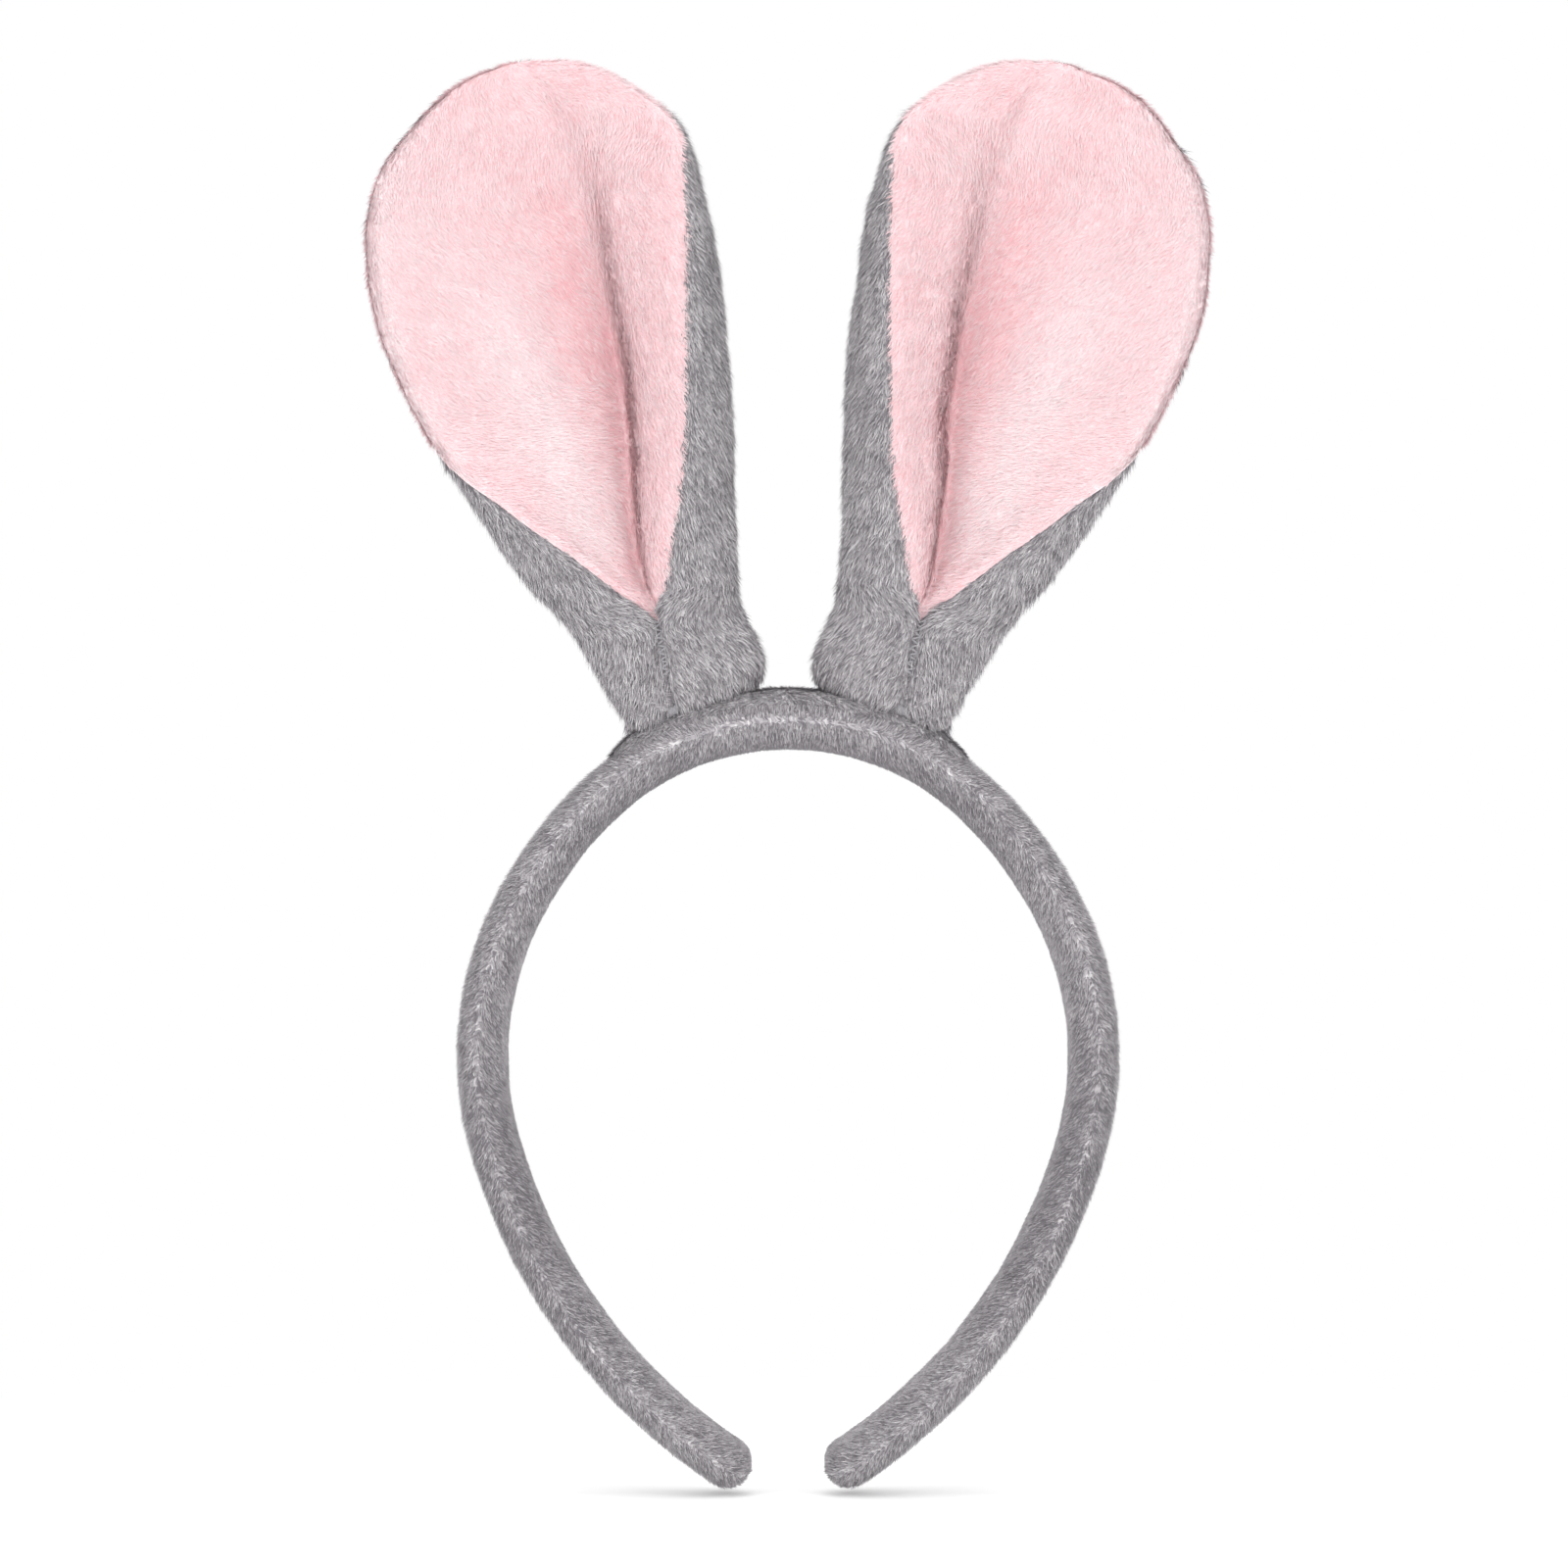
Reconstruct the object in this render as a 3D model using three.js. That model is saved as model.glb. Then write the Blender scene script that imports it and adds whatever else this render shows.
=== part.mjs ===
// Plush rabbit-ear headband, in millimetres.
// Frame: +Z up, X across the head, the front of the headband faces -Y.
// The origin is the point under the crown of the band that sits on top of the head.
// "left" is the -X side, seen from the front; every left piece has a mirrored right one.
import * as THREE from "three";
import { mergeVertices } from "three/addons/utils/BufferGeometryUtils.js";

// ---------- driving dimensions ----------
const clearance = 0.3; // gap between neighbouring pieces
const bandFabric = 1.3; // plush cover of the band

const bandThickness = 10; // padded band, measured away from the head
const bandWidth = 19; // padded band, front edge to back edge
// The band's centreline from the crown to the middle of a rounded tip, as tangent arcs.
const bandArcs = [
  { radius: 55, sweep: 42.5 },
  { radius: 75, sweep: 22 },
  { radius: 64, sweep: 41 },
  { radius: 111, sweep: 41 },
];
const coreThickness = 2; // moulded plastic hoop
const coreTipInset = 1; // the hoop stops this far before the middle of the tip
const foamEdge = 0.9; // foam left beside the hoop
const seamAllowance = 1.2; // folded cover edges keep the foam this far in
const threadRadius = 0.3;

const armOpens = 16; // degrees, outwards
const armCloses = 1.5; // degrees, inwards
const armSpare = 1; // degrees that the bend leaves free past each of those

const patchThickness = 2.1; // padded patch that carries the ears
const patchSideInset = 1; // from the band's edge to the patch's
const patchBorder = 3; // patch left beyond an ear's foot, along the band
const bendPastPatch = 2; // from the patch's end to where an arm bends

const earHeight = 129.6;
const earWidth = 67.7; // widest, as seen from the front
const earDepth = 27; // front rim to back
const earLean = 11.7; // degrees away from the middle
const earGap = 10.3; // between the two feet, round the crown
const earFabric = 1.1; // lining or back fabric
const fillingLooseness = 0.8; // between the fabric and the filling
const footWidth = 30;
const footDepth = 12; // also the diameter of the rounded underside that the ear rocks on
const bendHeights = 3.4; // half foot depths, up to where the ear stands straight

// ---------- outline of an ear ----------
// One row for each height. Heights are shares of earHeight, widths of earWidth, depths of
// earDepth (front is minus). Side is the silhouette, rim the seam between lining and back,
// fold the crease in the lining. "Out" is away from the other ear, "in" next to it.
const footU = footWidth / 2 / earWidth;
const footV = footDepth / 2 / earDepth;
const earRows = [
  { h: 0, outSide: [-footU, 0], outRim: [-0.065, -footV], fold: [-0.04, -footV * 0.93],
    inRim: [-0.02, -footV], inSide: [footU, 0], back: footV },
  { h: 0.047, outSide: [-footU * 1.08, 0], outRim: [-0.065, -footV], fold: [-0.04, -footV * 0.93],
    inRim: [-0.02, -footV], inSide: [footU * 1.02, 0], back: footV },
  { h: 0.134, outSide: [-0.295, -0.02], outRim: [-0.065, -0.24], fold: [-0.04, -0.2],
    inRim: [-0.02, -0.24], inSide: [0.205, 0], back: 0.25 },
  { h: 0.23, outSide: [-0.385, -0.06], outRim: [-0.205, -0.28], fold: [-0.059, -0.02],
    inRim: [0.037, -0.333], inSide: [0.23, 0], back: 0.345 },
  { h: 0.345, outSide: [-0.486, -0.14], outRim: [-0.405, -0.31], fold: [-0.033, 0.15],
    inRim: [0.121, -0.436], inSide: [0.272, 0], back: 0.448 },
  { h: 0.47, outSide: [-0.575, -0.17], outRim: [-0.55, -0.333], fold: [0.003, 0.207],
    inRim: [0.178, -0.482], inSide: [0.306, 0], back: 0.494 },
  { h: 0.61, outSide: [-0.645, -0.12], outRim: [-0.619, -0.293], fold: [0.01, 0.224],
    inRim: [0.237, -0.47], inSide: [0.337, 0], back: 0.505 },
  { h: 0.75, outSide: [-0.649, -0.02], outRim: [-0.622, -0.19], fold: [-0.005, 0.2],
    inRim: [0.288, -0.38], inSide: [0.3435, 0], back: 0.47 },
  { h: 0.86, outSide: [-0.585, 0.06], outRim: [-0.558, -0.092], fold: [-0.03, 0.138],
    inRim: [0.298, -0.25], inSide: [0.313, -0.02], back: 0.39 },
  { h: 0.938, outSide: [-0.448, 0.1], outRim: [-0.422, -0.034], fold: [-0.07, 0.08],
    inRim: [0.172, -0.115], inSide: [0.198, 0.06], back: 0.287 },
  { h: 0.985, outSide: [-0.307, 0.13], outRim: [-0.28, 0.0], fold: [-0.1, 0.046],
    inRim: [0.045, -0.011], inSide: [0.071, 0.12], back: 0.22 },
  { h: 1, outSide: [-0.17, 0.13], outRim: [-0.15, 0.04], fold: [-0.11, 0.045],
    inRim: [-0.072, 0.04], inSide: [-0.052, 0.13], back: 0.2 },
];
const tipRow = 2; // the row where the front seam ends and the lining starts
const openRow = 2.5; // the row from which the lining reaches both rims

// ---------- roundness and fineness ----------
const coverRoundness = 2.4; // 2 is an ellipse, more is squarer
const foamRoundness = 2.6;
const channelRoundness = 4;
const patchEndRoundness = 6;
const patchSideRoundness = 3;
const patchEdgeShare = 0.25; // share of the patch's thickness that is left at its edge
const hoopEdgeAt = 0.8; // share of the hoop's half width where its edge bevel starts
const hoopEdgeShare = 0.5; // share of the hoop's thickness left at its edge
const leastShare = 0.05; // what a rounded end shrinks to, as a share
const leastHoopShare = 0.1;
const leastFootShare = 0.2;
const coverPoints = 8;
const foamPoints = 6;
const crownSteps = 12;
const armSteps = 20;
const tipSteps = 3;
const patchSteps = [16, 10]; // along and across
const threadSides = 4;
const weld = 1e-3; // points closer than this are one
const tiny = 1e-6;

// ---------- small tools ----------
const radians = THREE.MathUtils.degToRad;
const lerp = THREE.MathUtils.lerp;
const steps = (n) => Array.from({ length: n + 1 }, (_, i) => i / n);

// The closed solid between two equal grids of points: two faces and the walls round them.
function slab(front, back) {
  const rows = front.length;
  const columns = front[0].length;
  const positions = [...front.flat(), ...back.flat()].flatMap((p) => [p.x, p.y, p.z]);
  const at = (side, row, column) => side * rows * columns + row * columns + column;
  const index = [];
  const quad = (a, b, c, d) => index.push(a, b, c, a, c, d);
  const lastColumn = columns - 1;
  for (let r = 0; r < rows - 1; r++)
    for (let c = 0; c < lastColumn; c++) {
      quad(at(0, r, c), at(0, r, c + 1), at(0, r + 1, c + 1), at(0, r + 1, c));
      quad(at(1, r, c), at(1, r + 1, c), at(1, r + 1, c + 1), at(1, r, c + 1));
    }
  for (let c = 0; c < lastColumn; c++) {
    quad(at(0, 0, c), at(1, 0, c), at(1, 0, c + 1), at(0, 0, c + 1));
    quad(at(0, rows - 1, c), at(0, rows - 1, c + 1), at(1, rows - 1, c + 1), at(1, rows - 1, c));
  }
  for (let r = 0; r < rows - 1; r++) {
    quad(at(0, r, 0), at(0, r + 1, 0), at(1, r + 1, 0), at(1, r, 0));
    quad(at(0, r, lastColumn), at(1, r, lastColumn), at(1, r + 1, lastColumn), at(0, r + 1, lastColumn));
  }
  return closedGeometry(positions, index);
}

// The closed solid through rings of points, one ring after another, with flat ends.
function loft(rings) {
  const count = rings[0].length;
  const positions = rings.flat().flatMap((p) => [p.x, p.y, p.z]);
  const index = [];
  for (let r = 0; r < rings.length - 1; r++)
    for (let c = 0; c < count; c++) {
      const next = (c + 1) % count;
      const [a, b] = [r * count + c, r * count + next];
      index.push(a, b, b + count, a, b + count, a + count);
    }
  for (const [row, turn] of [[0, 1], [rings.length - 1, 0]]) {
    const middle = new THREE.Vector3();
    rings[row].forEach((p) => middle.addScaledVector(p, 1 / count));
    const centre = positions.length / 3;
    positions.push(middle.x, middle.y, middle.z);
    for (let c = 0; c < count; c++) {
      const [a, b] = [row * count + c, row * count + ((c + 1) % count)];
      index.push(...(turn ? [centre, b, a] : [centre, a, b]));
    }
  }
  return closedGeometry(positions, index);
}

// Merges equal points, drops collapsed triangles and turns the faces outwards.
function closedGeometry(positions, index) {
  const loose = new THREE.BufferGeometry();
  loose.setAttribute("position", new THREE.Float32BufferAttribute(positions, 3));
  loose.setIndex(index);
  const merged = mergeVertices(loose, weld);
  const corner = (i) => new THREE.Vector3().fromBufferAttribute(merged.attributes.position, i);
  const kept = [];
  let volume = 0;
  for (let i = 0; i < merged.index.count; i += 3) {
    const [a, b, c] = [0, 1, 2].map((k) => merged.index.getX(i + k));
    if (a === b || b === c || c === a) continue;
    kept.push([a, b, c]);
    volume += corner(a).dot(corner(b).cross(corner(c)));
  }
  merged.setIndex(kept.flatMap(([a, b, c]) => (volume > 0 ? [a, b, c] : [a, c, b])));
  merged.computeVertexNormals();
  return merged;
}

// A round thread along a list of points, as one tube with flat ends.
function thread(points) {
  const section = new THREE.Shape(
    steps(threadSides).slice(1).map((t) => new THREE.Vector2(
      threadRadius * Math.cos(2 * Math.PI * t), threadRadius * Math.sin(2 * Math.PI * t))),
  );
  return new THREE.ExtrudeGeometry(section, {
    steps: points.length * 2,
    extrudePath: new THREE.CatmullRomCurve3(points, false, "centripetal"),
    bevelEnabled: false,
  });
}

const mirrored = (grid) => grid.map((row) => row.map((p) => new THREE.Vector3(-p.x, p.y, p.z)));
const onSide = (side, grid) => (side < 0 ? mirrored(grid) : grid);

// ---------- the band ----------
const halfThickness = bandThickness / 2;
const halfWidth = bandWidth / 2;
const foamHalfWidth = halfWidth - bandFabric - clearance - seamAllowance;
const foamHalfThickness = halfThickness - bandFabric - clearance;
const coreHalfWidth = foamHalfWidth - foamEdge - clearance;
const crownRadius = bandArcs[0].radius;
const crownCentreZ = halfThickness - crownRadius;
const bandLength = bandArcs.reduce((sum, arc) => sum + arc.radius * radians(arc.sweep), 0);

// The ears' feet stand side by side round the crown. The patch reaches past them, and the
// arms bend past the patch.
const seatRadius = crownRadius + halfThickness + patchThickness + clearance;
const earSeatAngle = (footWidth / 2 + earGap / 2) / seatRadius;
const onCentreline = crownRadius / seatRadius;
const patchHalfLength = (earGap / 2 + footWidth) * onCentreline + patchBorder;
const flexAt = patchHalfLength + bendPastPatch;

// The place, direction and outward normal on the right half of the centreline, at distance s.
function bandAt(s) {
  if (s < 0) {
    const other = bandAt(-s);
    return { x: -other.x, z: other.z, nx: -other.nx, nz: other.nz, tx: other.tx, tz: -other.tz };
  }
  let [x, z, turned] = [0, halfThickness, 0];
  for (const [i, arc] of bandArcs.entries()) {
    const last = i === bandArcs.length - 1;
    const angle = last ? s / arc.radius : Math.min(s / arc.radius, radians(arc.sweep));
    x += arc.radius * (Math.sin(turned + angle) - Math.sin(turned));
    z += arc.radius * (Math.cos(turned + angle) - Math.cos(turned));
    turned += angle;
    s -= arc.radius * angle;
    if (s <= tiny) break;
  }
  const [sin, cos] = [Math.sin(turned), Math.cos(turned)];
  return { x, z, nx: sin, nz: cos, tx: cos, tz: -sin };
}

// The point at distance s, away from the head by r, and y along the band's width.
function bandPoint(s, r, y) {
  const place = bandAt(s);
  return new THREE.Vector3(place.x + place.nx * r, y, place.z + place.nz * r);
}

// Half of a rounded section: [r, y] points from the back edge over the top to the front edge.
// away is 1 for the half away from the head and -1 for the half next to it.
function halfSection(halfW, halfT, away, roundness, count) {
  return steps(count).map((t) => {
    const angle = Math.PI * t;
    const round = (v) => Math.sign(v) * Math.abs(v) ** (2 / roundness);
    const start = clearance / 2;
    return [away * (start + (halfT - start) * round(Math.sin(angle))), halfW * round(Math.cos(angle))];
  });
}

// How far an arm's end face leans back at height r, so that the arm can open and close.
const flexRelief = (r) =>
  clearance / 2 + Math.abs(r) * Math.tan(radians((r > 0 ? armOpens : armCloses) + armSpare));

// The rows of one layer of the crown, of a [r, y] section.
const crownRows = (section) =>
  steps(crownSteps).map((t) => {
    const s = lerp(-(flexAt - clearance / 2), flexAt - clearance / 2, t);
    return section.map(([r, y]) => bandPoint(s, r, y));
  });

// The rows of one layer of an arm: a leaning start, the length, and a rounded tip whose
// radius along the band is tipRadius.
function armRows(section, tipRadius, straightEnd = bandLength) {
  const rows = [section.map(([r, y]) => bandPoint(flexAt + flexRelief(r), r, y))];
  for (const t of steps(armSteps).slice(1)) {
    const s = lerp(flexAt + clearance, straightEnd, t);
    rows.push(section.map(([r, y]) => bandPoint(s, r, y)));
  }
  for (const t of steps(tipSteps).slice(1)) {
    const angle = (Math.PI / 2) * t;
    const shrink = Math.max(Math.cos(angle), leastShare);
    const s = straightEnd + tipRadius * Math.sin(angle);
    const thin = (r) => Math.sign(r) * lerp(clearance / 2, Math.abs(r), shrink);
    rows.push(section.map(([r, y]) => bandPoint(s, thin(r), y * shrink)));
  }
  return rows;
}

// A layer of the band between an outer and an inner section, for the crown and both arms.
function bandLayer(name, material, outer, inner, outerTip, innerTip) {
  return [
    piece(name + "_crown", slab(crownRows(outer), crownRows(inner)), material),
    ...[["left", -1], ["right", 1]].map(([label, side]) =>
      piece(
        name + "_" + label,
        slab(onSide(side, armRows(outer, outerTip)), onSide(side, armRows(inner, innerTip))),
        material,
      )),
  ];
}

function coverStrips() {
  const wall = bandFabric;
  return [["cover_outer", 1], ["cover_inner", -1]].flatMap(([name, away]) =>
    bandLayer(
      name,
      materials.greyPlush,
      halfSection(halfWidth, halfThickness, away, coverRoundness, coverPoints),
      halfSection(halfWidth - wall, halfThickness - wall, away, coverRoundness, coverPoints),
      halfThickness,
      halfThickness - wall,
    ));
}

function foamPads() {
  const channelHalfWidth = coreHalfWidth + clearance;
  const channelHalfThickness = coreThickness / 2 + clearance;
  return [["foam_outer", 1], ["foam_inner", -1]].flatMap(([name, away]) =>
    bandLayer(
      name,
      materials.foam,
      halfSection(foamHalfWidth, foamHalfThickness, away, foamRoundness, foamPoints),
      halfSection(channelHalfWidth, channelHalfThickness, away, channelRoundness, foamPoints),
      foamHalfThickness,
      channelHalfThickness,
    ));
}

// The hoop is one moulding on the bench, split where it flexes.
function coreHoop() {
  const across = [-1, -hoopEdgeAt, 0, hoopEdgeAt, 1];
  const face = (away) =>
    across.map((u) => [
      away * (coreThickness / 2) * (Math.abs(u) === 1 ? hoopEdgeShare : 1),
      u * coreHalfWidth,
    ]);
  const end = bandLength - coreTipInset - coreHalfWidth;
  return [
    piece("core_crown", slab(crownRows(face(1)), crownRows(face(-1))), materials.plastic),
    ...[["left", -1], ["right", 1]].map(([label, side]) =>
      piece(
        "core_" + label,
        slab(onSide(side, coreArmRows(face(1), end)), onSide(side, coreArmRows(face(-1), end))),
        materials.plastic,
      )),
  ];
}

// An arm of the hoop: only its width narrows at the tip, so that it ends in a flat half-round.
function coreArmRows(section, end) {
  const rows = armRows(section, 0, end).slice(0, armSteps + 1);
  for (const t of steps(tipSteps).slice(1)) {
    const angle = (Math.PI / 2) * t;
    const shrink = Math.max(Math.cos(angle), leastHoopShare);
    const s = end + coreHalfWidth * Math.sin(angle);
    rows.push(section.map(([r, y]) => bandPoint(s, r, y * shrink)));
  }
  return rows;
}

// The threads that join the two cover strips, inside the front and back edges.
function seamThreads() {
  const across = halfWidth - bandFabric - clearance - threadRadius;
  return [["front", -1], ["back", 1]].flatMap(([edge, sign]) => {
    const run = (from, to, side, count) =>
      steps(count).map((t) => {
        const p = bandPoint(lerp(from, to, t), 0, sign * across);
        return side < 0 ? p.setX(-p.x) : p;
      });
    const [crownEnd, armStart] = [flexAt - clearance / 2, flexAt + clearance / 2];
    return [
      piece(
        `seam_thread_${edge}_crown`,
        thread(run(-crownEnd, crownEnd, 1, crownSteps)),
        materials.thread,
      ),
      ...[["left", -1], ["right", 1]].map(([label, side]) =>
        piece(
          `seam_thread_${edge}_${label}`,
          thread(run(armStart, bandLength - halfThickness, side, armSteps / 2)),
          materials.thread,
        )),
    ];
  });
}

// ---------- the patch that carries the ears ----------
// Height of the cover's outer face above the centreline, at y across the band.
const coverTop = (y) => halfThickness * (1 - Math.abs(y / halfWidth) ** coverRoundness) ** (1 / coverRoundness);

function crownPatch() {
  const half = halfWidth - patchSideInset;
  const spread = (count, reach) => steps(count).map((t) => reach * Math.sin((t - 0.5) * Math.PI));
  const along = spread(patchSteps[0], patchHalfLength);
  const across = spread(patchSteps[1], half);
  const rounded = (share, power) => Math.sqrt(Math.max(0, 1 - Math.abs(share) ** power));
  const swell = (s, y) =>
    patchEdgeShare + (1 - patchEdgeShare) * rounded(s / patchHalfLength, patchEndRoundness) *
      rounded(y / half, patchSideRoundness);
  const bottom = (y) => coverTop(y) + clearance;
  const face = (extra) =>
    along.map((s) => across.map((y) => bandPoint(s, bottom(y) + extra(s, y), y)));
  const rise = patchThickness - clearance;
  return piece("crown_patch", slab(face((s, y) => rise * swell(s, y)), face(() => 0)), materials.greyPlush);
}

// ---------- the ears ----------
const seat = {
  x: -seatRadius * Math.sin(earSeatAngle),
  z: seatRadius * Math.cos(earSeatAngle) + crownCentreZ,
};
const rockRadius = footDepth / 2;

// The ear's outline at row number t, smooth between rows, in millimetres.
function outlineAt(t) {
  const i = Math.min(Math.floor(t), earRows.length - 2);
  const f = t - i;
  const rows = [i - 1, i, i + 1, i + 2].map((k) => earRows[THREE.MathUtils.clamp(k, 0, earRows.length - 1)]);
  const blend = (pick) => {
    const [a, b, c, d] = rows.map(pick);
    return b + 0.5 * f * (c - a + f * (2 * a - 5 * b + 4 * c - d + f * (3 * (b - c) + d - a)));
  };
  const place = (name) => new THREE.Vector3(
    blend((row) => row[name][0]) * earWidth, blend((row) => row[name][1]) * earDepth, 0);
  return {
    h: blend((row) => row.h),
    back: blend((row) => row.back) * earDepth,
    outSide: place("outSide"),
    outRim: place("outRim"),
    fold: place("fold"),
    inRim: place("inRim"),
    inSide: place("inSide"),
  };
}

// The closed section of the ear: from the out rim over the lining to the in rim, then round
// the outside. The named places count its points.
const [outRimAt, foldAt, inRimAt, inSideAt, outSideAt, sectionPlaces] = [0, 2, 4, 6, 9, 11];
function earSection(line, inset) {
  const mix = (a, b, u, v = u) => new THREE.Vector3(lerp(a.x, b.x, u), lerp(a.y, b.y, v), 0);
  const points = [
    line.outRim,
    mix(line.outRim, line.fold, 0.5, 0.6),
    line.fold,
    mix(line.fold, line.inRim, 0.45, 0.62),
    line.inRim,
    mix(line.inRim, line.inSide, 0.68, 0.3),
    line.inSide,
    mix(line.outSide, line.inSide, 0.75, 0).setY(line.back),
    mix(line.outSide, line.inSide, 0.3, 0).setY(lerp(line.outSide.y, line.back, 0.72)),
    line.outSide,
    mix(line.outRim, line.outSide, 0.68, 0.3),
  ];
  const outside = new THREE.CatmullRomCurve3(points, true, "centripetal");
  const inside = points.map((point, i) => {
    const along = outside.getTangent(i / sectionPlaces);
    return new THREE.Vector3(point.x - along.y * inset, point.y + along.x * inset, 0);
  });
  return new THREE.CatmullRomCurve3(inside, true, "centripetal");
}

// The place a distance along from a place on the section.
function placeAlong(curve, place, distance) {
  const step = 0.02;
  const span = curve.getPoint(place / sectionPlaces)
    .distanceTo(curve.getPoint((place + step) / sectionPlaces));
  return place + (distance * step) / span;
}

// How deep the foot is at height w, as a share: a half-round underside.
function rockShare(w, inset) {
  if (w >= rockRadius) return 1;
  const radius = rockRadius - inset;
  return Math.max(leastFootShare, Math.sqrt(Math.max(0, radius ** 2 - (rockRadius - w) ** 2)) / radius);
}

// From across, depth and height on a left ear to the headband's frame. The foot follows the
// round crown, and a little above it the ear stands straight.
function earPlace(u, v, w) {
  const follow = Math.max(0, 1 - w / (rockRadius * bendHeights)) ** 2;
  const bend = Math.tan(earSeatAngle - radians(earLean)) * u - u ** 2 / (2 * seatRadius);
  const height = w + follow * bend;
  const [sin, cos] = [Math.sin(radians(earLean)), Math.cos(radians(earLean))];
  return new THREE.Vector3(seat.x + u * cos - height * sin, v, seat.z + u * sin + height * cos);
}

// One layer of an ear, at a depth under the fabric's surface. For each row number,
// placesOf gives the places on the section.
function earGrid(rowNumbers, placesOf, inset) {
  return rowNumbers.map((t) => {
    const line = outlineAt(t);
    const curve = earSection(line, inset);
    const w = inset + line.h * (earHeight - 2 * inset);
    const share = rockShare(w, inset);
    return placesOf(t, curve).map((place) => {
      const point = curve.getPoint((place / sectionPlaces) % 1);
      return earPlace(point.x, point.y * share, w);
    });
  });
}

// Where the lining begins and ends on the section: at the fold below, at the rims above.
function seamPlaces(t) {
  const opened = THREE.MathUtils.smoothstep(t, tipRow, openRow);
  return [lerp(foldAt, outRimAt, opened), lerp(foldAt, inRimAt, opened)];
}

const between = (from, to, count) => steps(count).map((t) => lerp(from, to, t));
const footRows = [0.02, 0.12, 0.32, 0.6, 0.85, 1.1, 1.5, 1.8, 2];
const bodyRows = [2.15, 2.3, 2.5, 3, 3.5, 4, 4.5, 5, 5.6, 6.3, 7, 7.6, 8.2, 8.7, 9.2, 9.7, 10.3, 11];
const seamGap = clearance / 2;

// Places from stop to stop, each stretch in as many equal steps as its count says.
function throughPlaces(stops, counts) {
  const stretches = counts.map((count, i) => between(stops[i], stops[i + 1], count).slice(0, -1));
  return [...stretches.flat(), stops.at(-1)];
}

function liningPlaces(t, curve) {
  const [from, to] = seamPlaces(t);
  return throughPlaces(
    [placeAlong(curve, from, seamGap), foldAt, placeAlong(curve, to, -seamGap)], [4, 4]);
}

function backPlaces(t, curve) {
  const [from, to] = seamPlaces(t);
  const end = placeAlong(curve, from + sectionPlaces - tiny, -seamGap);
  return throughPlaces([placeAlong(curve, to, seamGap), inSideAt, outSideAt, end], [5, 7, 5]);
}

const fillingPlaces = () =>
  throughPlaces([outRimAt, foldAt, inRimAt, inSideAt, outSideAt, sectionPlaces], [4, 4, 3, 7, 3])
    .slice(0, -1);

function ear(label, side) {
  const allRows = [...footRows, ...bodyRows];
  const grid = (rows, places, inset) => onSide(-side, earGrid(rows, places, inset));
  return [
    piece(
      `ear_${label}_lining`,
      slab(grid(bodyRows, liningPlaces, 0), grid(bodyRows, liningPlaces, earFabric)),
      materials.pinkPlush,
    ),
    piece(
      `ear_${label}_back`,
      slab(grid(allRows, backPlaces, 0), grid(allRows, backPlaces, earFabric)),
      materials.greyPlush,
    ),
    piece(
      `ear_${label}_filling`,
      loft(grid(allRows.slice(1, -1), fillingPlaces, earFabric + fillingLooseness)),
      materials.filling,
    ),
    piece(`ear_${label}_front_stitches`, frontStitches(side), materials.thread),
    piece(`ear_${label}_base_stitches`, baseStitches(side), materials.thread),
  ];
}

// The thread that laces the two front edges together, from the foot up to the lining.
function frontStitches(side) {
  const turns = 4;
  const reach = 1; // to each side of the seam
  const [lowest, highest] = [tipRow - 0.9, tipRow - 0.05]; // rows
  const points = between(lowest, highest, turns * 2).map((t, i) => {
    const line = outlineAt(t);
    const u = line.fold.x + (i % 2 ? reach : -reach);
    return earPlace(u, line.outRim.y - threadRadius - clearance, line.h * earHeight);
  });
  return thread(onSide(-side, [points])[0]);
}

// The thread round the ear's foot, zigzag on the patch, clear of the rounded underside.
function baseStitches(side) {
  const zigzags = 16;
  const [nearReach, farReach] = [1.02, 1.1];
  const [from, to] = [radians(95), radians(445)]; // round the foot, from its back
  const threadSpace = clearance + 2 * threadRadius;
  const points = between(from, to, zigzags * 2).map((angle, i) => {
    const reach = i % 2 ? farReach : nearReach;
    const y = rockRadius * reach * Math.sin(angle);
    const s = -earSeatAngle * crownRadius +
      (footWidth / 2 + threadSpace) * onCentreline * reach * Math.cos(angle);
    return bandPoint(s, coverTop(y) + patchThickness + threadRadius + clearance, y);
  });
  return thread(onSide(-side, [points])[0]);
}

// ---------- materials and assembly ----------
const finish = (color, roughness, metalness = 0) =>
  new THREE.MeshStandardMaterial({ color, roughness, metalness });
const materials = {
  greyPlush: finish(0x9a979b, 0.95),
  pinkPlush: finish(0xf7c3c9, 0.95),
  foam: finish(0xe9e4d6, 0.9),
  filling: finish(0xf4f3f0, 1),
  plastic: finish(0x2b2b2e, 0.45),
  thread: finish(0x8b888d, 0.8),
};

function piece(name, geometry, material) {
  const mesh = new THREE.Mesh(geometry, material);
  mesh.name = name;
  return mesh;
}

const headband = new THREE.Group();
headband.add(
  ...coreHoop(),
  ...foamPads(),
  ...coverStrips(),
  ...seamThreads(),
  crownPatch(),
  ...ear("left", -1),
  ...ear("right", 1),
);

export default headband;
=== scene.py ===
import math

import bpy
import numpy as np
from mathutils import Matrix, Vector, noise


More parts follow.
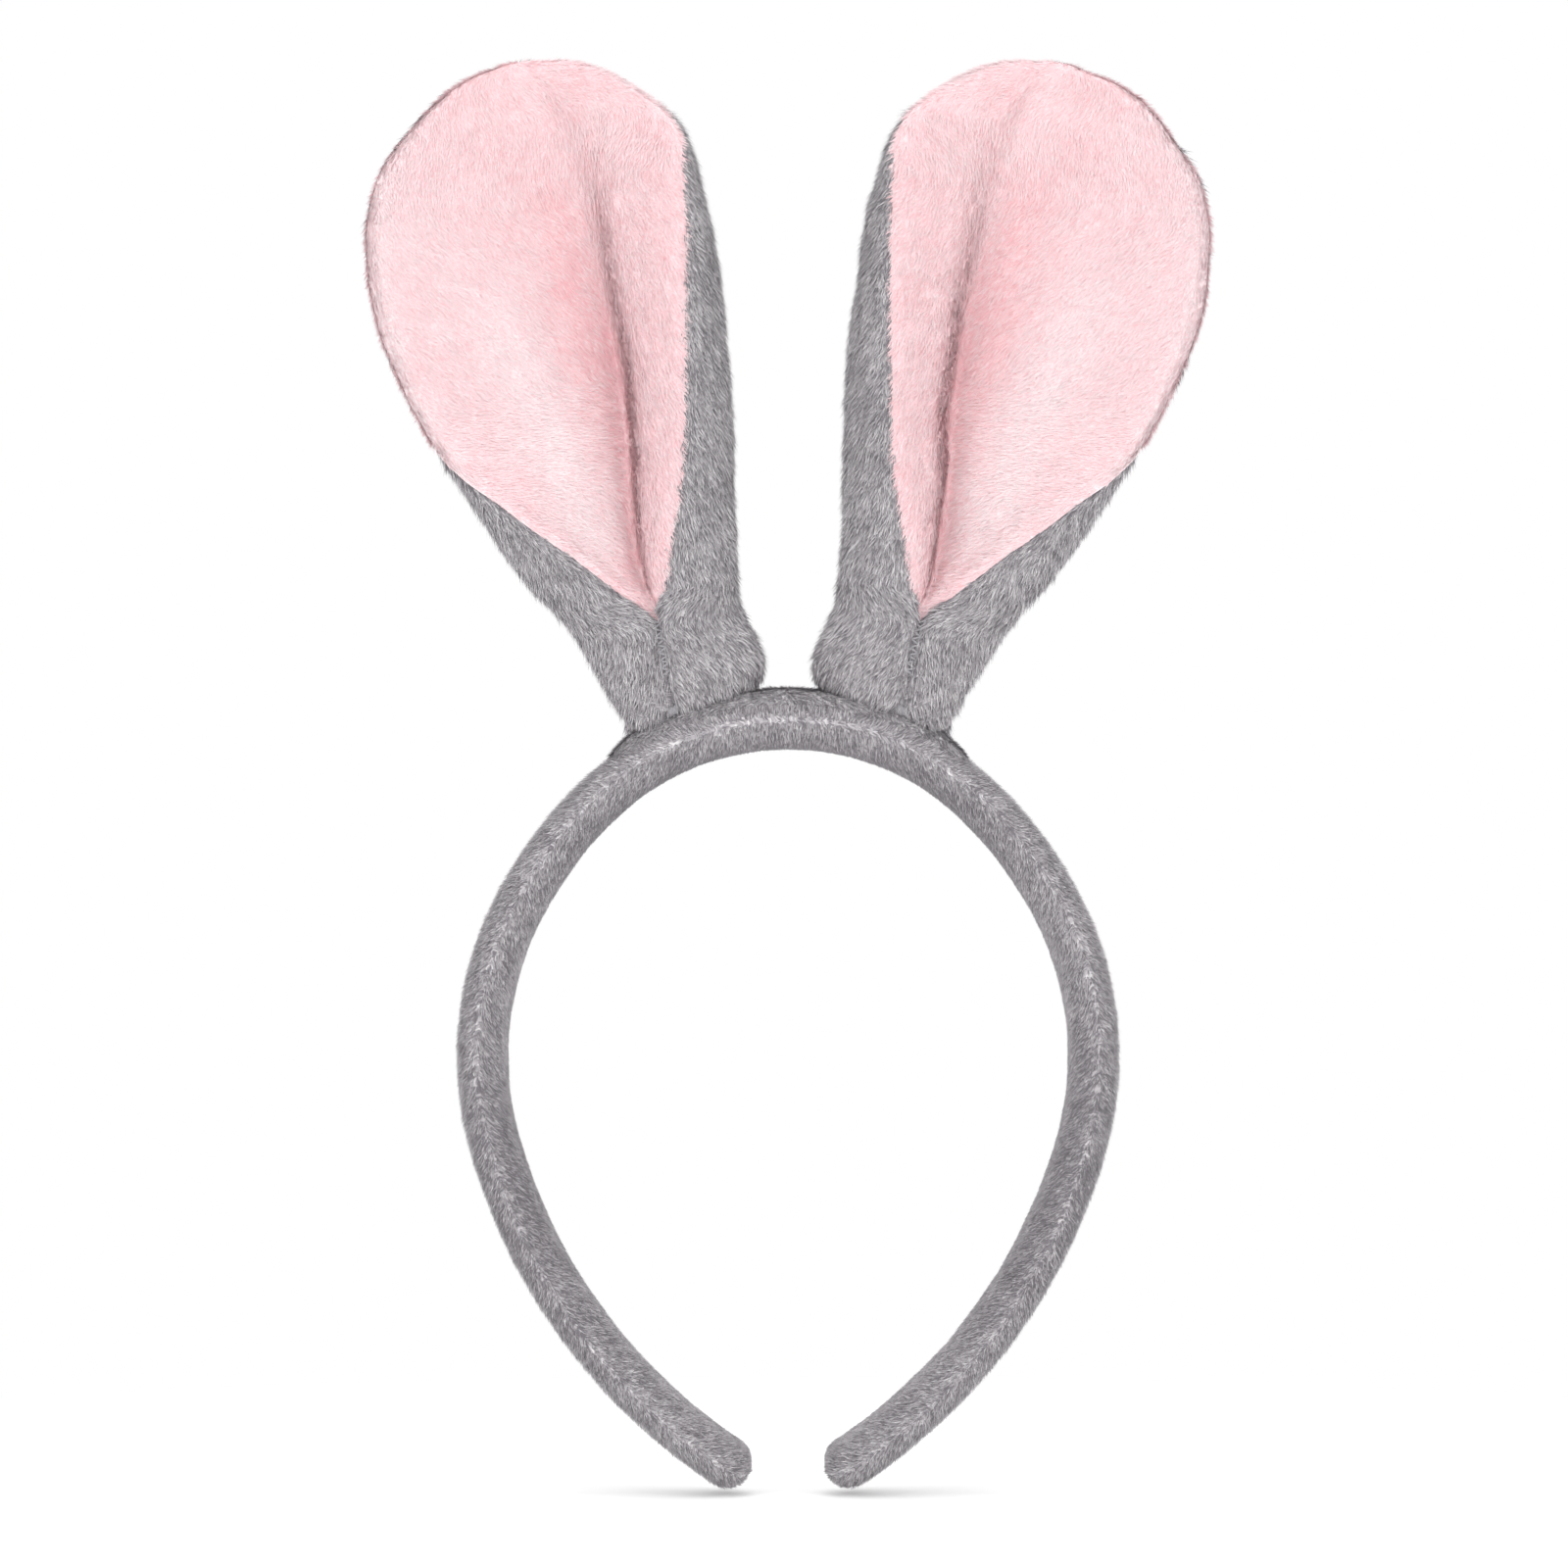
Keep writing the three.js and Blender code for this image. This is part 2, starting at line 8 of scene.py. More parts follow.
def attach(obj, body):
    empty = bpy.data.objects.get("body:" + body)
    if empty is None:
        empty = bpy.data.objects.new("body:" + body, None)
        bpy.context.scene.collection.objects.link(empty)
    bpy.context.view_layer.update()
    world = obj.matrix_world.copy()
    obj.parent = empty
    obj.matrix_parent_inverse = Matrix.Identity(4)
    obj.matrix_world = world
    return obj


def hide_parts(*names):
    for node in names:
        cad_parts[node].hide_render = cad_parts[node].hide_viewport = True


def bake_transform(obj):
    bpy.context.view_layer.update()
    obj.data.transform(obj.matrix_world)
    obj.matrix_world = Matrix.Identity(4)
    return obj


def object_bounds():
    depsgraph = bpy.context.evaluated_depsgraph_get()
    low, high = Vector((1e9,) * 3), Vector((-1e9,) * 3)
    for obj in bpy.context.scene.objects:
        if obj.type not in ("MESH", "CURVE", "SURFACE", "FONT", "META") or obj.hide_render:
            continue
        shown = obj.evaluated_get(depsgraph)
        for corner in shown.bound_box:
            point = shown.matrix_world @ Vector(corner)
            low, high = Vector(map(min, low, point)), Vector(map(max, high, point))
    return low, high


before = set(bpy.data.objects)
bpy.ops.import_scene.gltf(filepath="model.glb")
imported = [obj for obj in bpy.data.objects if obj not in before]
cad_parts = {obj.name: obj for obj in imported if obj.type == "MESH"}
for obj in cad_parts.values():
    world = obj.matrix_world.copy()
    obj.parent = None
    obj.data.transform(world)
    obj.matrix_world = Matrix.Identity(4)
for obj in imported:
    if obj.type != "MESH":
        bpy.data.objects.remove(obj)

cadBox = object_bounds()
millimetre = 0.001


view = {
    "aim": (-0.0008, 0.0, -0.0067),  # the middle of the picture
    "distance": 1.5,
    "frameHeight": 0.3077,  # what the picture takes in at the object
    "lensLength": 100.0,
}
studio = {
    "floorColour": (0.93, 0.93, 0.93, 1),
    "floorGlow": 0.16,
    "floorFade": (0.13, 0.3),  # metres from the middle
    "floorSize": 4.0,
    "worldStrength": 0.78,
    "frontPower": 5.6,
    "topPower": 3.6,
    "backPower": 3.0,
}


def makeCamera():
    data = bpy.data.cameras.new("camera")
    data.lens = view["lensLength"]
    data.sensor_width = view["frameHeight"] / view["distance"] * view["lensLength"]
    data.clip_end = 20
    camera = bpy.data.objects.new("camera", data)
    camera.location = Vector(view["aim"]) + Vector((0, -view["distance"], 0))
    camera.rotation_euler = (math.radians(90), 0, 0)
    bpy.context.collection.objects.link(camera)
    bpy.context.scene.camera = camera


def makeLamp(name, power, place, size):
    data = bpy.data.lights.new(name, "AREA")
    data.energy = power
    data.shape = "DISK"
    data.size = size
    lamp = bpy.data.objects.new(name, data)
    lamp.location = place
    lamp.rotation_euler = (Vector((0, 0, 0.02)) - Vector(place)).to_track_quat("-Z", "Y").to_euler()
    bpy.context.collection.objects.link(lamp)


def makeStudio():
    world = bpy.data.worlds.new("studio")
    world.use_nodes = True
    bpy.context.scene.world = world
    tree = world.node_tree
    tree.nodes.clear()
    out = tree.nodes.new("ShaderNodeOutputWorld")
    mix = tree.nodes.new("ShaderNodeMixShader")
    seen = tree.nodes.new("ShaderNodeBackground")
    lit = tree.nodes.new("ShaderNodeBackground")
    seen.inputs["Color"].default_value = (1, 1, 1, 1)
    seen.inputs["Strength"].default_value = 1
    lit.inputs["Color"].default_value = (1, 1, 1, 1)
    lit.inputs["Strength"].default_value = studio["worldStrength"]
    path = tree.nodes.new("ShaderNodeLightPath")
    add = tree.nodes.new("ShaderNodeMath")
    add.operation = "ADD"
    addMore = tree.nodes.new("ShaderNodeMath")
    addMore.operation = "ADD"
    addMore.use_clamp = True
    tree.links.new(path.outputs["Is Camera Ray"], add.inputs[0])
    tree.links.new(path.outputs["Is Glossy Ray"], add.inputs[1])
    tree.links.new(add.outputs[0], addMore.inputs[0])
    tree.links.new(path.outputs["Is Transmission Ray"], addMore.inputs[1])
    tree.links.new(addMore.outputs[0], mix.inputs[0])
    tree.links.new(lit.outputs[0], mix.inputs[1])
    tree.links.new(seen.outputs[0], mix.inputs[2])
    tree.links.new(mix.outputs[0], out.inputs[0])

    floorMaterial = bpy.data.materials.new("floorPaint")
    floorMaterial.use_nodes = True
    shader = floorMaterial.node_tree.nodes["Principled BSDF"]
    shader.inputs["Base Color"].default_value = studio["floorColour"]
    shader.inputs["Roughness"].default_value = 0.9
    shader.inputs["Specular IOR Level"].default_value = 0.0
    shader.inputs["Emission Color"].default_value = (1, 1, 1, 1)
    shader.inputs["Emission Strength"].default_value = studio["floorGlow"]
    # the floor fades into the white of the background away from the headband
    floorTree = floorMaterial.node_tree
    place = floorTree.nodes.new("ShaderNodeTexCoord")
    length = floorTree.nodes.new("ShaderNodeVectorMath")
    length.operation = "LENGTH"
    wire(floorTree, place.outputs["Object"], length.inputs[0])
    away = rangeNode(floorTree, length.outputs["Value"], *studio["floorFade"], 0, 1)
    seenFloor = floorTree.nodes.new("ShaderNodeLightPath")
    white = floorTree.nodes.new("ShaderNodeEmission")
    white.inputs["Color"].default_value = (1, 1, 1, 1)
    white.inputs["Strength"].default_value = 1
    fade = floorTree.nodes.new("ShaderNodeMixShader")
    wire(floorTree, mathNode(floorTree, "MULTIPLY", away, seenFloor.outputs["Is Camera Ray"]),
         fade.inputs[0])
    wire(floorTree, shader.outputs[0], fade.inputs[1])
    wire(floorTree, white.outputs[0], fade.inputs[2])
    wire(floorTree, fade.outputs[0], floorTree.nodes["Material Output"].inputs["Surface"])
    size = studio["floorSize"]
    height = cadBox[0][2] - 0.0009
    mesh = bpy.data.meshes.new("floor")
    mesh.from_pydata([(-size, -size, 0), (size, -size, 0), (size, size, 0), (-size, size, 0)], [],
                     [(0, 1, 2, 3)])
    mesh.materials.append(floorMaterial)
    floor = bpy.data.objects.new("floor", mesh)
    floor.location = (0, 0, height)
    bpy.context.collection.objects.link(floor)

    makeLamp("softboxLeft", studio["frontPower"], (-0.85, -1.15, 0.55), 0.9)
    makeLamp("softboxRight", studio["frontPower"], (0.85, -1.15, 0.55), 0.9)
    makeLamp("softboxTop", studio["topPower"], (0, -0.1, 1.25), 1.0)
    makeLamp("softboxBack", studio["backPower"], (0, 1.2, 0.7), 1.0)
    scene = bpy.context.scene
    scene.view_settings.view_transform = "Standard"


greyFinish = {
    "deep": (0.19, 0.178, 0.194, 1),
    "middle": (0.475, 0.452, 0.472, 1),
    "tips": (0.82, 0.795, 0.81, 1),
    # root: painted shade deep in the pile, at the fibres' roots
    "root": (0.22, 0.207, 0.223, 1),
    "sheen": 0.2,
}
pinkFinish = {
    "deep": (0.93, 0.53, 0.56, 1),
    "middle": (0.965, 0.755, 0.778, 1),
    "tips": (0.985, 0.895, 0.905, 1),
    # root: painted shade deep in the pile, at the fibres' roots
    "root": (0.94, 0.62, 0.65, 1),
    "sheen": 0.5,
}


def newGroup(name, inputs, outputs):
    group = bpy.data.node_groups.new(name, "ShaderNodeTree")
    for label, kind, value in inputs:
        socket = group.interface.new_socket(name=label, in_out="INPUT", socket_type=kind)
        if value is not None:
            socket.default_value = value
    for label, kind in outputs:
        group.interface.new_socket(name=label, in_out="OUTPUT", socket_type=kind)
    start = group.nodes.new("NodeGroupInput")
    end = group.nodes.new("NodeGroupOutput")
    return group, start, end


def wire(tree, source, target):
    tree.links.new(source, target)


def mathNode(tree, operation, first, second, clamp=False):
    node = tree.nodes.new("ShaderNodeMath")
    node.operation = operation
    node.use_clamp = clamp
    for socket, value in ((node.inputs[0], first), (node.inputs[1], second)):
        if isinstance(value, (int, float)):
            socket.default_value = value
        else:
            tree.links.new(value, socket)
    return node.outputs[0]


def rangeNode(tree, value, low, high, newLow, newHigh):
    node = tree.nodes.new("ShaderNodeMapRange")
    node.clamp = True
    node.interpolation_type = "SMOOTHSTEP"
    tree.links.new(value, node.inputs["Value"])
    for label, number in (("From Min", low), ("From Max", high), ("To Min", newLow), ("To Max",
                                                                                      newHigh)):
        node.inputs[label].default_value = number
    return node.outputs["Result"]


def noiseNode(tree, vector, scale, detail, roughness=0.5, distortion=0.0):
    node = tree.nodes.new("ShaderNodeTexNoise")
    tree.links.new(vector, node.inputs["Vector"])
    node.inputs["Scale"].default_value = scale
    node.inputs["Detail"].default_value = detail
    node.inputs["Roughness"].default_value = roughness
    node.inputs["Distortion"].default_value = distortion
    return node.outputs["Fac"]


def stretchNode(tree, vector, x, y, z):
    node = tree.nodes.new("ShaderNodeVectorMath")
    node.operation = "MULTIPLY"
    tree.links.new(vector, node.inputs[0])
    node.inputs[1].default_value = (x, y, z)
    return node.outputs[0]


# The lie of a short pile: fine strands along the map's V, in clumps, with brushed patches.
# The map is laid out in millimetres.
def makePileGroup():
    group, start, end = newGroup(
        "pileStrands",
        [("Wander", "NodeSocketFloat", 0.5), ("Seed", "NodeSocketFloat", 0.0)],
        [("Strand", "NodeSocketFloat"), ("Clump", "NodeSocketFloat"), ("Patch", "NodeSocketFloat"),
         ("Height", "NodeSocketFloat")],
    )
    coordinates = group.nodes.new("ShaderNodeUVMap")
    coordinates.uv_map = "pileMap"
    uv = coordinates.outputs["UV"]
    seedVector = group.nodes.new("ShaderNodeCombineXYZ")
    wire(group, start.outputs["Seed"], seedVector.inputs["X"])
    wire(group, start.outputs["Seed"], seedVector.inputs["Z"])
    shifted = group.nodes.new("ShaderNodeVectorMath")
    shifted.operation = "ADD"
    wire(group, uv, shifted.inputs[0])
    wire(group, seedVector.outputs[0], shifted.inputs[1])
    base = shifted.outputs[0]
    # strands wander to the side a little as they go
    bendNoise = group.nodes.new("ShaderNodeTexNoise")
    wire(group, base, bendNoise.inputs["Vector"])
    bendNoise.inputs["Scale"].default_value = 0.22
    bendNoise.inputs["Detail"].default_value = 2
    centred = group.nodes.new("ShaderNodeVectorMath")
    centred.operation = "SUBTRACT"
    wire(group, bendNoise.outputs["Color"], centred.inputs[0])
    centred.inputs[1].default_value = (0.5, 0.5, 0.5)
    scaled = group.nodes.new("ShaderNodeVectorMath")
    scaled.operation = "SCALE"
    wire(group, centred.outputs[0], scaled.inputs[0])
    reach = mathNode(group, "MULTIPLY", start.outputs["Wander"], 9.0)
    wire(group, reach, scaled.inputs["Scale"])
    bent = group.nodes.new("ShaderNodeVectorMath")
    bent.operation = "ADD"
    wire(group, base, bent.inputs[0])
    wire(group, scaled.outputs[0], bent.inputs[1])
    lie = bent.outputs[0]
    strand = noiseNode(group, stretchNode(group, lie, 3.1, 0.42, 1.0), 1.0, 3, 0.62)
    clump = noiseNode(group, stretchNode(group, lie, 0.95, 0.3, 1.0), 1.0, 3, 0.6, 0.3)
    patch = noiseNode(group, stretchNode(group, base, 0.1, 0.075, 1.0), 1.0, 3, 0.5, 0.6)
    strandOut = rangeNode(group, strand, 0.3, 0.7, 0, 1)
    clumpOut = rangeNode(group, clump, 0.32, 0.68, 0, 1)
    patchOut = rangeNode(group, patch, 0.3, 0.7, 0, 1)
    height = mathNode(group, "ADD", mathNode(group, "MULTIPLY", strandOut, 0.55),
                      mathNode(group, "MULTIPLY", clumpOut, 0.8))
    wire(group, strandOut, end.inputs["Strand"])
    wire(group, clumpOut, end.inputs["Clump"])
    wire(group, patchOut, end.inputs["Patch"])
    wire(group, height, end.inputs["Height"])
    return group


def mixColour(tree, factor, first, second):
    node = tree.nodes.new("ShaderNodeMix")
    node.data_type = "RGBA"
    for socket, value in ((node.inputs[0], factor), (node.inputs[6], first), (node.inputs[7],
                                                                              second)):
        if isinstance(value, (int, float, tuple)):
            socket.default_value = value
        else:
            tree.links.new(value, socket)
    return node.outputs[2]


def makePlush(name, finish, pile, contrast, bump, seed, wander=0.5):
    material = bpy.data.materials.new(name)
    material.use_nodes = True
    tree = material.node_tree
    shader = tree.nodes["Principled BSDF"]
    strands = tree.nodes.new("ShaderNodeGroup")
    strands.node_tree = pile
    strands.inputs["Seed"].default_value = seed
    strands.inputs["Wander"].default_value = wander
    calmNode = tree.nodes.new("ShaderNodeAttribute")  # 1 where the pile lies smooth
    calmNode.attribute_name = "calm"
    shadeNode = tree.nodes.new("ShaderNodeAttribute")  # painted shade, and painted highlight where below 0, with the seams simply darker; mostly 0 to 1
    shadeNode.attribute_name = "paintedShadeAndHighlight"
    lively = mathNode(tree, "SUBTRACT", 1.0, mathNode(tree, "MULTIPLY", calmNode.outputs["Fac"],
                                                      0.8))
    strandPart = mathNode(tree, "MULTIPLY", mathNode(tree, "SUBTRACT", strands.outputs["Strand"],
                                                     0.5), 0.6)
    clumpPart = mathNode(tree, "MULTIPLY", mathNode(tree, "SUBTRACT", strands.outputs["Clump"],
                                                    0.5), 0.35)
    patchPart = mathNode(tree, "MULTIPLY", mathNode(tree, "SUBTRACT", strands.outputs["Patch"],
                                                    0.5), 0.2)
    texture = mathNode(tree, "ADD", mathNode(tree, "ADD", strandPart, clumpPart), patchPart)
    tone = mathNode(tree, "MULTIPLY", mathNode(tree, "MULTIPLY", texture, lively), contrast)
    tone = mathNode(tree, "ADD", tone, 0.5)
    # painted shade darkens the tone here, and painted highlight lightens it
    tone = mathNode(tree, "SUBTRACT", tone, mathNode(tree, "MULTIPLY", shadeNode.outputs["Fac"],
                                                     0.5), clamp=True)
    darkHalf = mixColour(tree, rangeNode(tree, tone, 0.0, 0.5, 0, 1), finish["deep"],
                         finish["middle"])
    colour = mixColour(tree, rangeNode(tree, tone, 0.5, 1.0, 0, 1), darkHalf, finish["tips"])
    wire(tree, colour, shader.inputs["Base Color"])
    rough = rangeNode(tree, strands.outputs["Clump"], 0, 1, 0.92, 0.75)
    wire(tree, rough, shader.inputs["Roughness"])
    bumpNode = tree.nodes.new("ShaderNodeBump")
    bumpNode.inputs["Strength"].default_value = bump
    bumpNode.inputs["Distance"].default_value = 0.0006
    wire(tree, mathNode(tree, "MULTIPLY", strands.outputs["Height"], lively),
         bumpNode.inputs["Height"])
    wire(tree, bumpNode.outputs["Normal"], shader.inputs["Normal"])
    shader.inputs["Sheen Weight"].default_value = finish["sheen"]
    shader.inputs["Sheen Roughness"].default_value = 0.35
    shader.inputs["Sheen Tint"].default_value = finish["tips"]
    shader.inputs["Specular IOR Level"].default_value = 0.15
    return material


def makePlainFinish(name, colour, roughness, scale, bump, strength=0.12):
    material = bpy.data.materials.new(name)
    material.use_nodes = True
    tree = material.node_tree
    shader = tree.nodes["Principled BSDF"]
    place = tree.nodes.new("ShaderNodeTexCoord")
    grain = noiseNode(tree, place.outputs["Object"], scale, 4)
    dark = tuple(c * (1 - strength) for c in colour[:3]) + (1,)
    light = tuple(min(1, c * (1 + strength)) for c in colour[:3]) + (1,)
    wire(tree, mixColour(tree, rangeNode(tree, grain, 0.35, 0.65, 0, 1), dark, light),
         shader.inputs["Base Color"])
    wire(tree, rangeNode(tree, grain, 0.3, 0.7, roughness - 0.08, roughness + 0.05),
         shader.inputs["Roughness"])
    bumpNode = tree.nodes.new("ShaderNodeBump")
    bumpNode.inputs["Strength"].default_value = bump
    bumpNode.inputs["Distance"].default_value = 0.0003
    wire(tree, grain, bumpNode.inputs["Height"])
    wire(tree, bumpNode.outputs["Normal"], shader.inputs["Normal"])
    return material


def smoothStep(value, low, high):
    t = np.clip((np.asarray(value, float) - low) / (high - low), 0, 1)
    return t * t * (3 - 2 * t)


def gridPiece(name, points, uv, material, closed=False, masks=None):
    # points: rows by columns by 3, in millimetres; uv: rows by columns (+1 when closed) by 2
    rows, columns = points.shape[:2]
    mesh = bpy.data.meshes.new(name)
    faces, corners = [], []
    last = columns if closed else columns - 1
    for r in range(rows - 1):
        for c in range(last):
            n = (c + 1) % columns
            faces.append((r * columns + c, r * columns + n, (r + 1) * columns + n,
                          (r + 1) * columns + c))
            corners.append(((r, c), (r, c + 1), (r + 1, c + 1), (r + 1, c)))
    mesh.from_pydata((points.reshape(-1, 3) * millimetre).tolist(), [], faces)
    layer = mesh.uv_layers.new(name="pileMap")
    flat = np.array([uv[a] for quad in corners for a in quad], np.float32)
    layer.data.foreach_set("uv", flat.reshape(-1))
    for label, values in (masks or {}).items():
        attribute = mesh.attributes.new(label, "FLOAT", "POINT")
        attribute.data.foreach_set("value", np.asarray(values, np.float32).reshape(-1))
    mesh.polygons.foreach_set("use_smooth", [True] * len(mesh.polygons))
    mesh.materials.append(material)
    mesh.update()
    piece = bpy.data.objects.new(name, mesh)
    bpy.context.collection.objects.link(piece)
    return piece


def gridNormals(points, closed=False):
    along = np.gradient(points, axis=0)
    if closed:
        across = (np.roll(points, -1, axis=1) - np.roll(points, 1, axis=1)) / 2
    else:
        across = np.gradient(points, axis=1)
    normal = np.cross(across, along)
    length = np.linalg.norm(normal, axis=2, keepdims=True)
    return normal / np.maximum(length, 1e-9)


def unevenness(points, size, seed):
    # smooth noise of about plus or minus one, for lumps of the given size in millimetres
    flat = points.reshape(-1, 3) / size + seed
    values = [noise.noise(Vector(p)) for p in flat]
    return np.array(values).reshape(points.shape[:-1]) * 1.6


fibres = {
    "width": 0.3,  # at the root, in millimetres
    "sink": 0.12,
    "sideways": 28.0,  # degrees that clumps lean to either side
    "restless": 10.0,  # degrees that single fibres differ
    "clumpSize": 1.9,
    "mapWidth": 0.006,
    "mapHeight": 0.1,
}


def makePileMaterial(name, finish):
    material = bpy.data.materials.new(name)
    material.use_nodes = True
    tree = material.node_tree
    shader = tree.nodes["Principled BSDF"]
    toneNode = tree.nodes.new("ShaderNodeAttribute")
    toneNode.attribute_name = "tone"
    alongNode = tree.nodes.new("ShaderNodeAttribute")
    alongNode.attribute_name = "along"
    darkHalf = mixColour(tree, rangeNode(tree, toneNode.outputs["Fac"], 0.0, 0.5, 0, 1),
                         finish["deep"], finish["middle"])
    colour = mixColour(tree, rangeNode(tree, toneNode.outputs["Fac"], 0.5, 1.0, 0, 1), darkHalf,
                       finish["tips"])
    # fibres darken towards their roots: painted shade deep in the pile
    rooted = mixColour(tree, rangeNode(tree, alongNode.outputs["Fac"], 0.0, 0.7, 0, 1),
                       finish["root"], colour)
    wire(tree, rooted, shader.inputs["Base Color"])
    wire(tree, rangeNode(tree, toneNode.outputs["Fac"], 0, 1, 0.85, 0.6),
         shader.inputs["Roughness"])
    shader.inputs["Sheen Weight"].default_value = finish["sheen"]
    shader.inputs["Sheen Roughness"].default_value = 0.4
    shader.inputs["Sheen Tint"].default_value = finish["tips"]
    shader.inputs["Specular IOR Level"].default_value = 0.1
    return material


def gridFlow(points, normals, acrossShare, alongShare, closed=False):
    # the way the pile lies, as a mix of the grid's own two directions
    along = np.gradient(points, axis=0)
    across = (np.roll(points, -1, axis=1) - np.roll(points, 1,
                                                    axis=1)) if closed else np.gradient(points,
                                                                                        axis=1)
    along /= np.maximum(np.linalg.norm(along, axis=2, keepdims=True), 1e-9)
    across /= np.maximum(np.linalg.norm(across, axis=2, keepdims=True), 1e-9)
    flow = across * np.asarray(acrossShare)[..., None] + along * np.asarray(alongShare)[..., None]
    flow -= normals * (flow * normals).sum(axis=2, keepdims=True)
    return flow / np.maximum(np.linalg.norm(flow, axis=2, keepdims=True), 1e-9)


def makeFibres(name, points, normals, flow, tone, calm, material, pile, seed, closed=False):
    # one thin triangle for each fibre, scattered evenly over the grid
    density, length, lift, contrast = (pile[key] for key in ("density", "length", "lift",
                                                             "contrast"))
    random = np.random.default_rng(seed)
    lean = unevenness(points, fibres["clumpSize"], seed * 1.7) * 0.7
    grids = [points, normals, flow, tone[..., None], lean[..., None], calm[..., None]]
    if closed:
        grids = [np.concatenate([grid, grid[:, :1]], axis=1) for grid in grids]
    corner = grids[0]
    diagonals = np.cross(corner[1:, 1:] - corner[:-1, :-1], corner[1:, :-1] - corner[:-1, 1:])
    area = np.linalg.norm(diagonals, axis=2).reshape(-1) / 2
    count = int(area.sum() * density * (1))
    picked = random.choice(len(area), count, p=area / area.sum())
    row, column = np.divmod(picked, corner.shape[1] - 1)
    s, t = random.random((2, count, 1))

    def at(grid):
        low = grid[row, column] * (1 - t) + grid[row, column + 1] * t
        high = grid[row + 1, column] * (1 - t) + grid[row + 1, column + 1] * t
        return low * (1 - s) + high * s

    def unit(vectors):
        return vectors / np.maximum(np.linalg.norm(vectors, axis=1, keepdims=True), 1e-9)

    root, normal, way = at(grids[0]), unit(at(grids[1])), unit(at(grids[2]))
    sideways = np.cross(normal, way)
    lively = 1 - at(grids[5]) * 0.65
    turn = np.radians(at(grids[4]) * fibres["sideways"] + random.normal(0, fibres["restless"],
                                                                        (count, 1))) * lively
    rise = np.radians(lift * (0.5 + random.random((count, 1)))) * lively
    direction = unit((way * np.cos(turn) + sideways * np.sin(turn)) * np.cos(rise)
                     + normal * np.sin(rise))
    across = unit(np.cross(direction, normal)) * fibres["width"] / 2
    reach = length * (0.65 + 0.6 * random.random((count, 1))) * (0.35 + 0.65 * lively)
    base = root - normal * fibres["sink"]
    vertices = np.stack([base - across, base + across, root + direction * reach],
                        axis=1).reshape(-1, 3)
    spots = random.normal(0, 1, count) * contrast + at(grids[4])[:, 0] * contrast * 0.5
    shade = at(grids[3])[:, 0] + spots * lively[:, 0]
    shade = np.clip(shade, 0.02, 0.98)
    mesh = bpy.data.meshes.new(name)
    mesh.vertices.add(count * 3)
    mesh.vertices.foreach_set("co", (vertices * millimetre).astype(np.float32).reshape(-1))
    mesh.loops.add(count * 3)
    mesh.loops.foreach_set("vertex_index", np.arange(count * 3, dtype=np.int32))
    mesh.polygons.add(count)
    mesh.polygons.foreach_set("loop_start", np.arange(0, count * 3, 3, dtype=np.int32))
    mesh.update(calc_edges=True)
    toneLayer = mesh.attributes.new("tone", "FLOAT", "POINT")
    toneLayer.data.foreach_set("value", np.repeat(shade, 3).astype(np.float32))
    alongLayer = mesh.attributes.new("along", "FLOAT", "POINT")
    alongLayer.data.foreach_set("value", np.tile([0.0, 0.0, 1.0], count).astype(np.float32))
    bakeMap = mesh.uv_layers.new(name="OFBake")
    middle = 0.5 - fibres["mapHeight"] / 2
    uv = np.empty((count, 3, 2), np.float32)
    uv[:, :, 0] = shade[:, None] * 0.96 + 0.02 + np.array([-1, 1, 0]) * fibres["mapWidth"] / 2
    uv[:, :, 1] = middle + np.array([0, 0, 1]) * fibres["mapHeight"]
    bakeMap.data.foreach_set("uv", uv.reshape(-1))
    mesh.polygons.foreach_set("use_smooth", [True] * count)
    soft = unit(normal + across / fibres["width"] * random.normal(0, 0.5, (count, 1)))
    mesh.normals_split_custom_set_from_vertices(np.repeat(soft, 3, axis=0))
    mesh.materials.append(material)
    piece = bpy.data.objects.new(name, mesh)
    bpy.context.collection.objects.link(piece)
    return piece


band = {
    "arcs": ((55.0, 42.5), (75.0, 22.0), (64.0, 41.0), (111.0, 41.0)),  # radius, degrees
    "halfThickness": 4.75,
    "settle": 0.6,  # how far the padding sits in towards the head along the arms
    "halfWidth": 9.6,
    "roundness": 2.35,
    "crestLift": 1.1,  # the front edge sits this far out from the middle
    "flexAt": 36.0,
    "flexReach": 13.0,
    "lumps": 0.09,
    "rowStep": 0.9,
    "tone": 0.43,
    "pile": {"density": 9.0, "length": 1.75, "lift": 17.0, "contrast": 0.26},  # fibres to a square millimetre
    "slant": 34.0,  # degrees that the pile leans away from the crest
    "wornInside": 0.6,  # share of the pile missing on the face towards the head
    "fill": 0.8,  # from 0, slack, to 1, tight
}
bandLength = sum(radius * math.radians(sweep) for radius, sweep in band["arcs"])


def bandAt(s):
    # place and outward direction on the right half of the centreline
    x, z, turned, left = 0.0, 5.0, 0.0, abs(s)
    for index, (radius, sweep) in enumerate(band["arcs"]):
        angle = left / radius
        if index < len(band["arcs"]) - 1:
            angle = min(angle, math.radians(sweep))
        x += radius * (math.sin(turned + angle) - math.sin(turned))
        z += radius * (math.cos(turned + angle) - math.cos(turned))
        turned += angle
        left -= radius * angle
        if left <= 1e-9:
            break
    side = -1 if s < 0 else 1
    return x * side, z, math.sin(turned) * side, math.cos(turned)


def bandPoints(s, r, y):
    x, z, nx, nz = bandAt(s)
    r, y = np.asarray(r, float) - band["settle"] * smoothStep(abs(s), 12, 60), np.asarray(y, float)
    return np.stack([x + nx * r, y, z + nz * r], axis=-1)


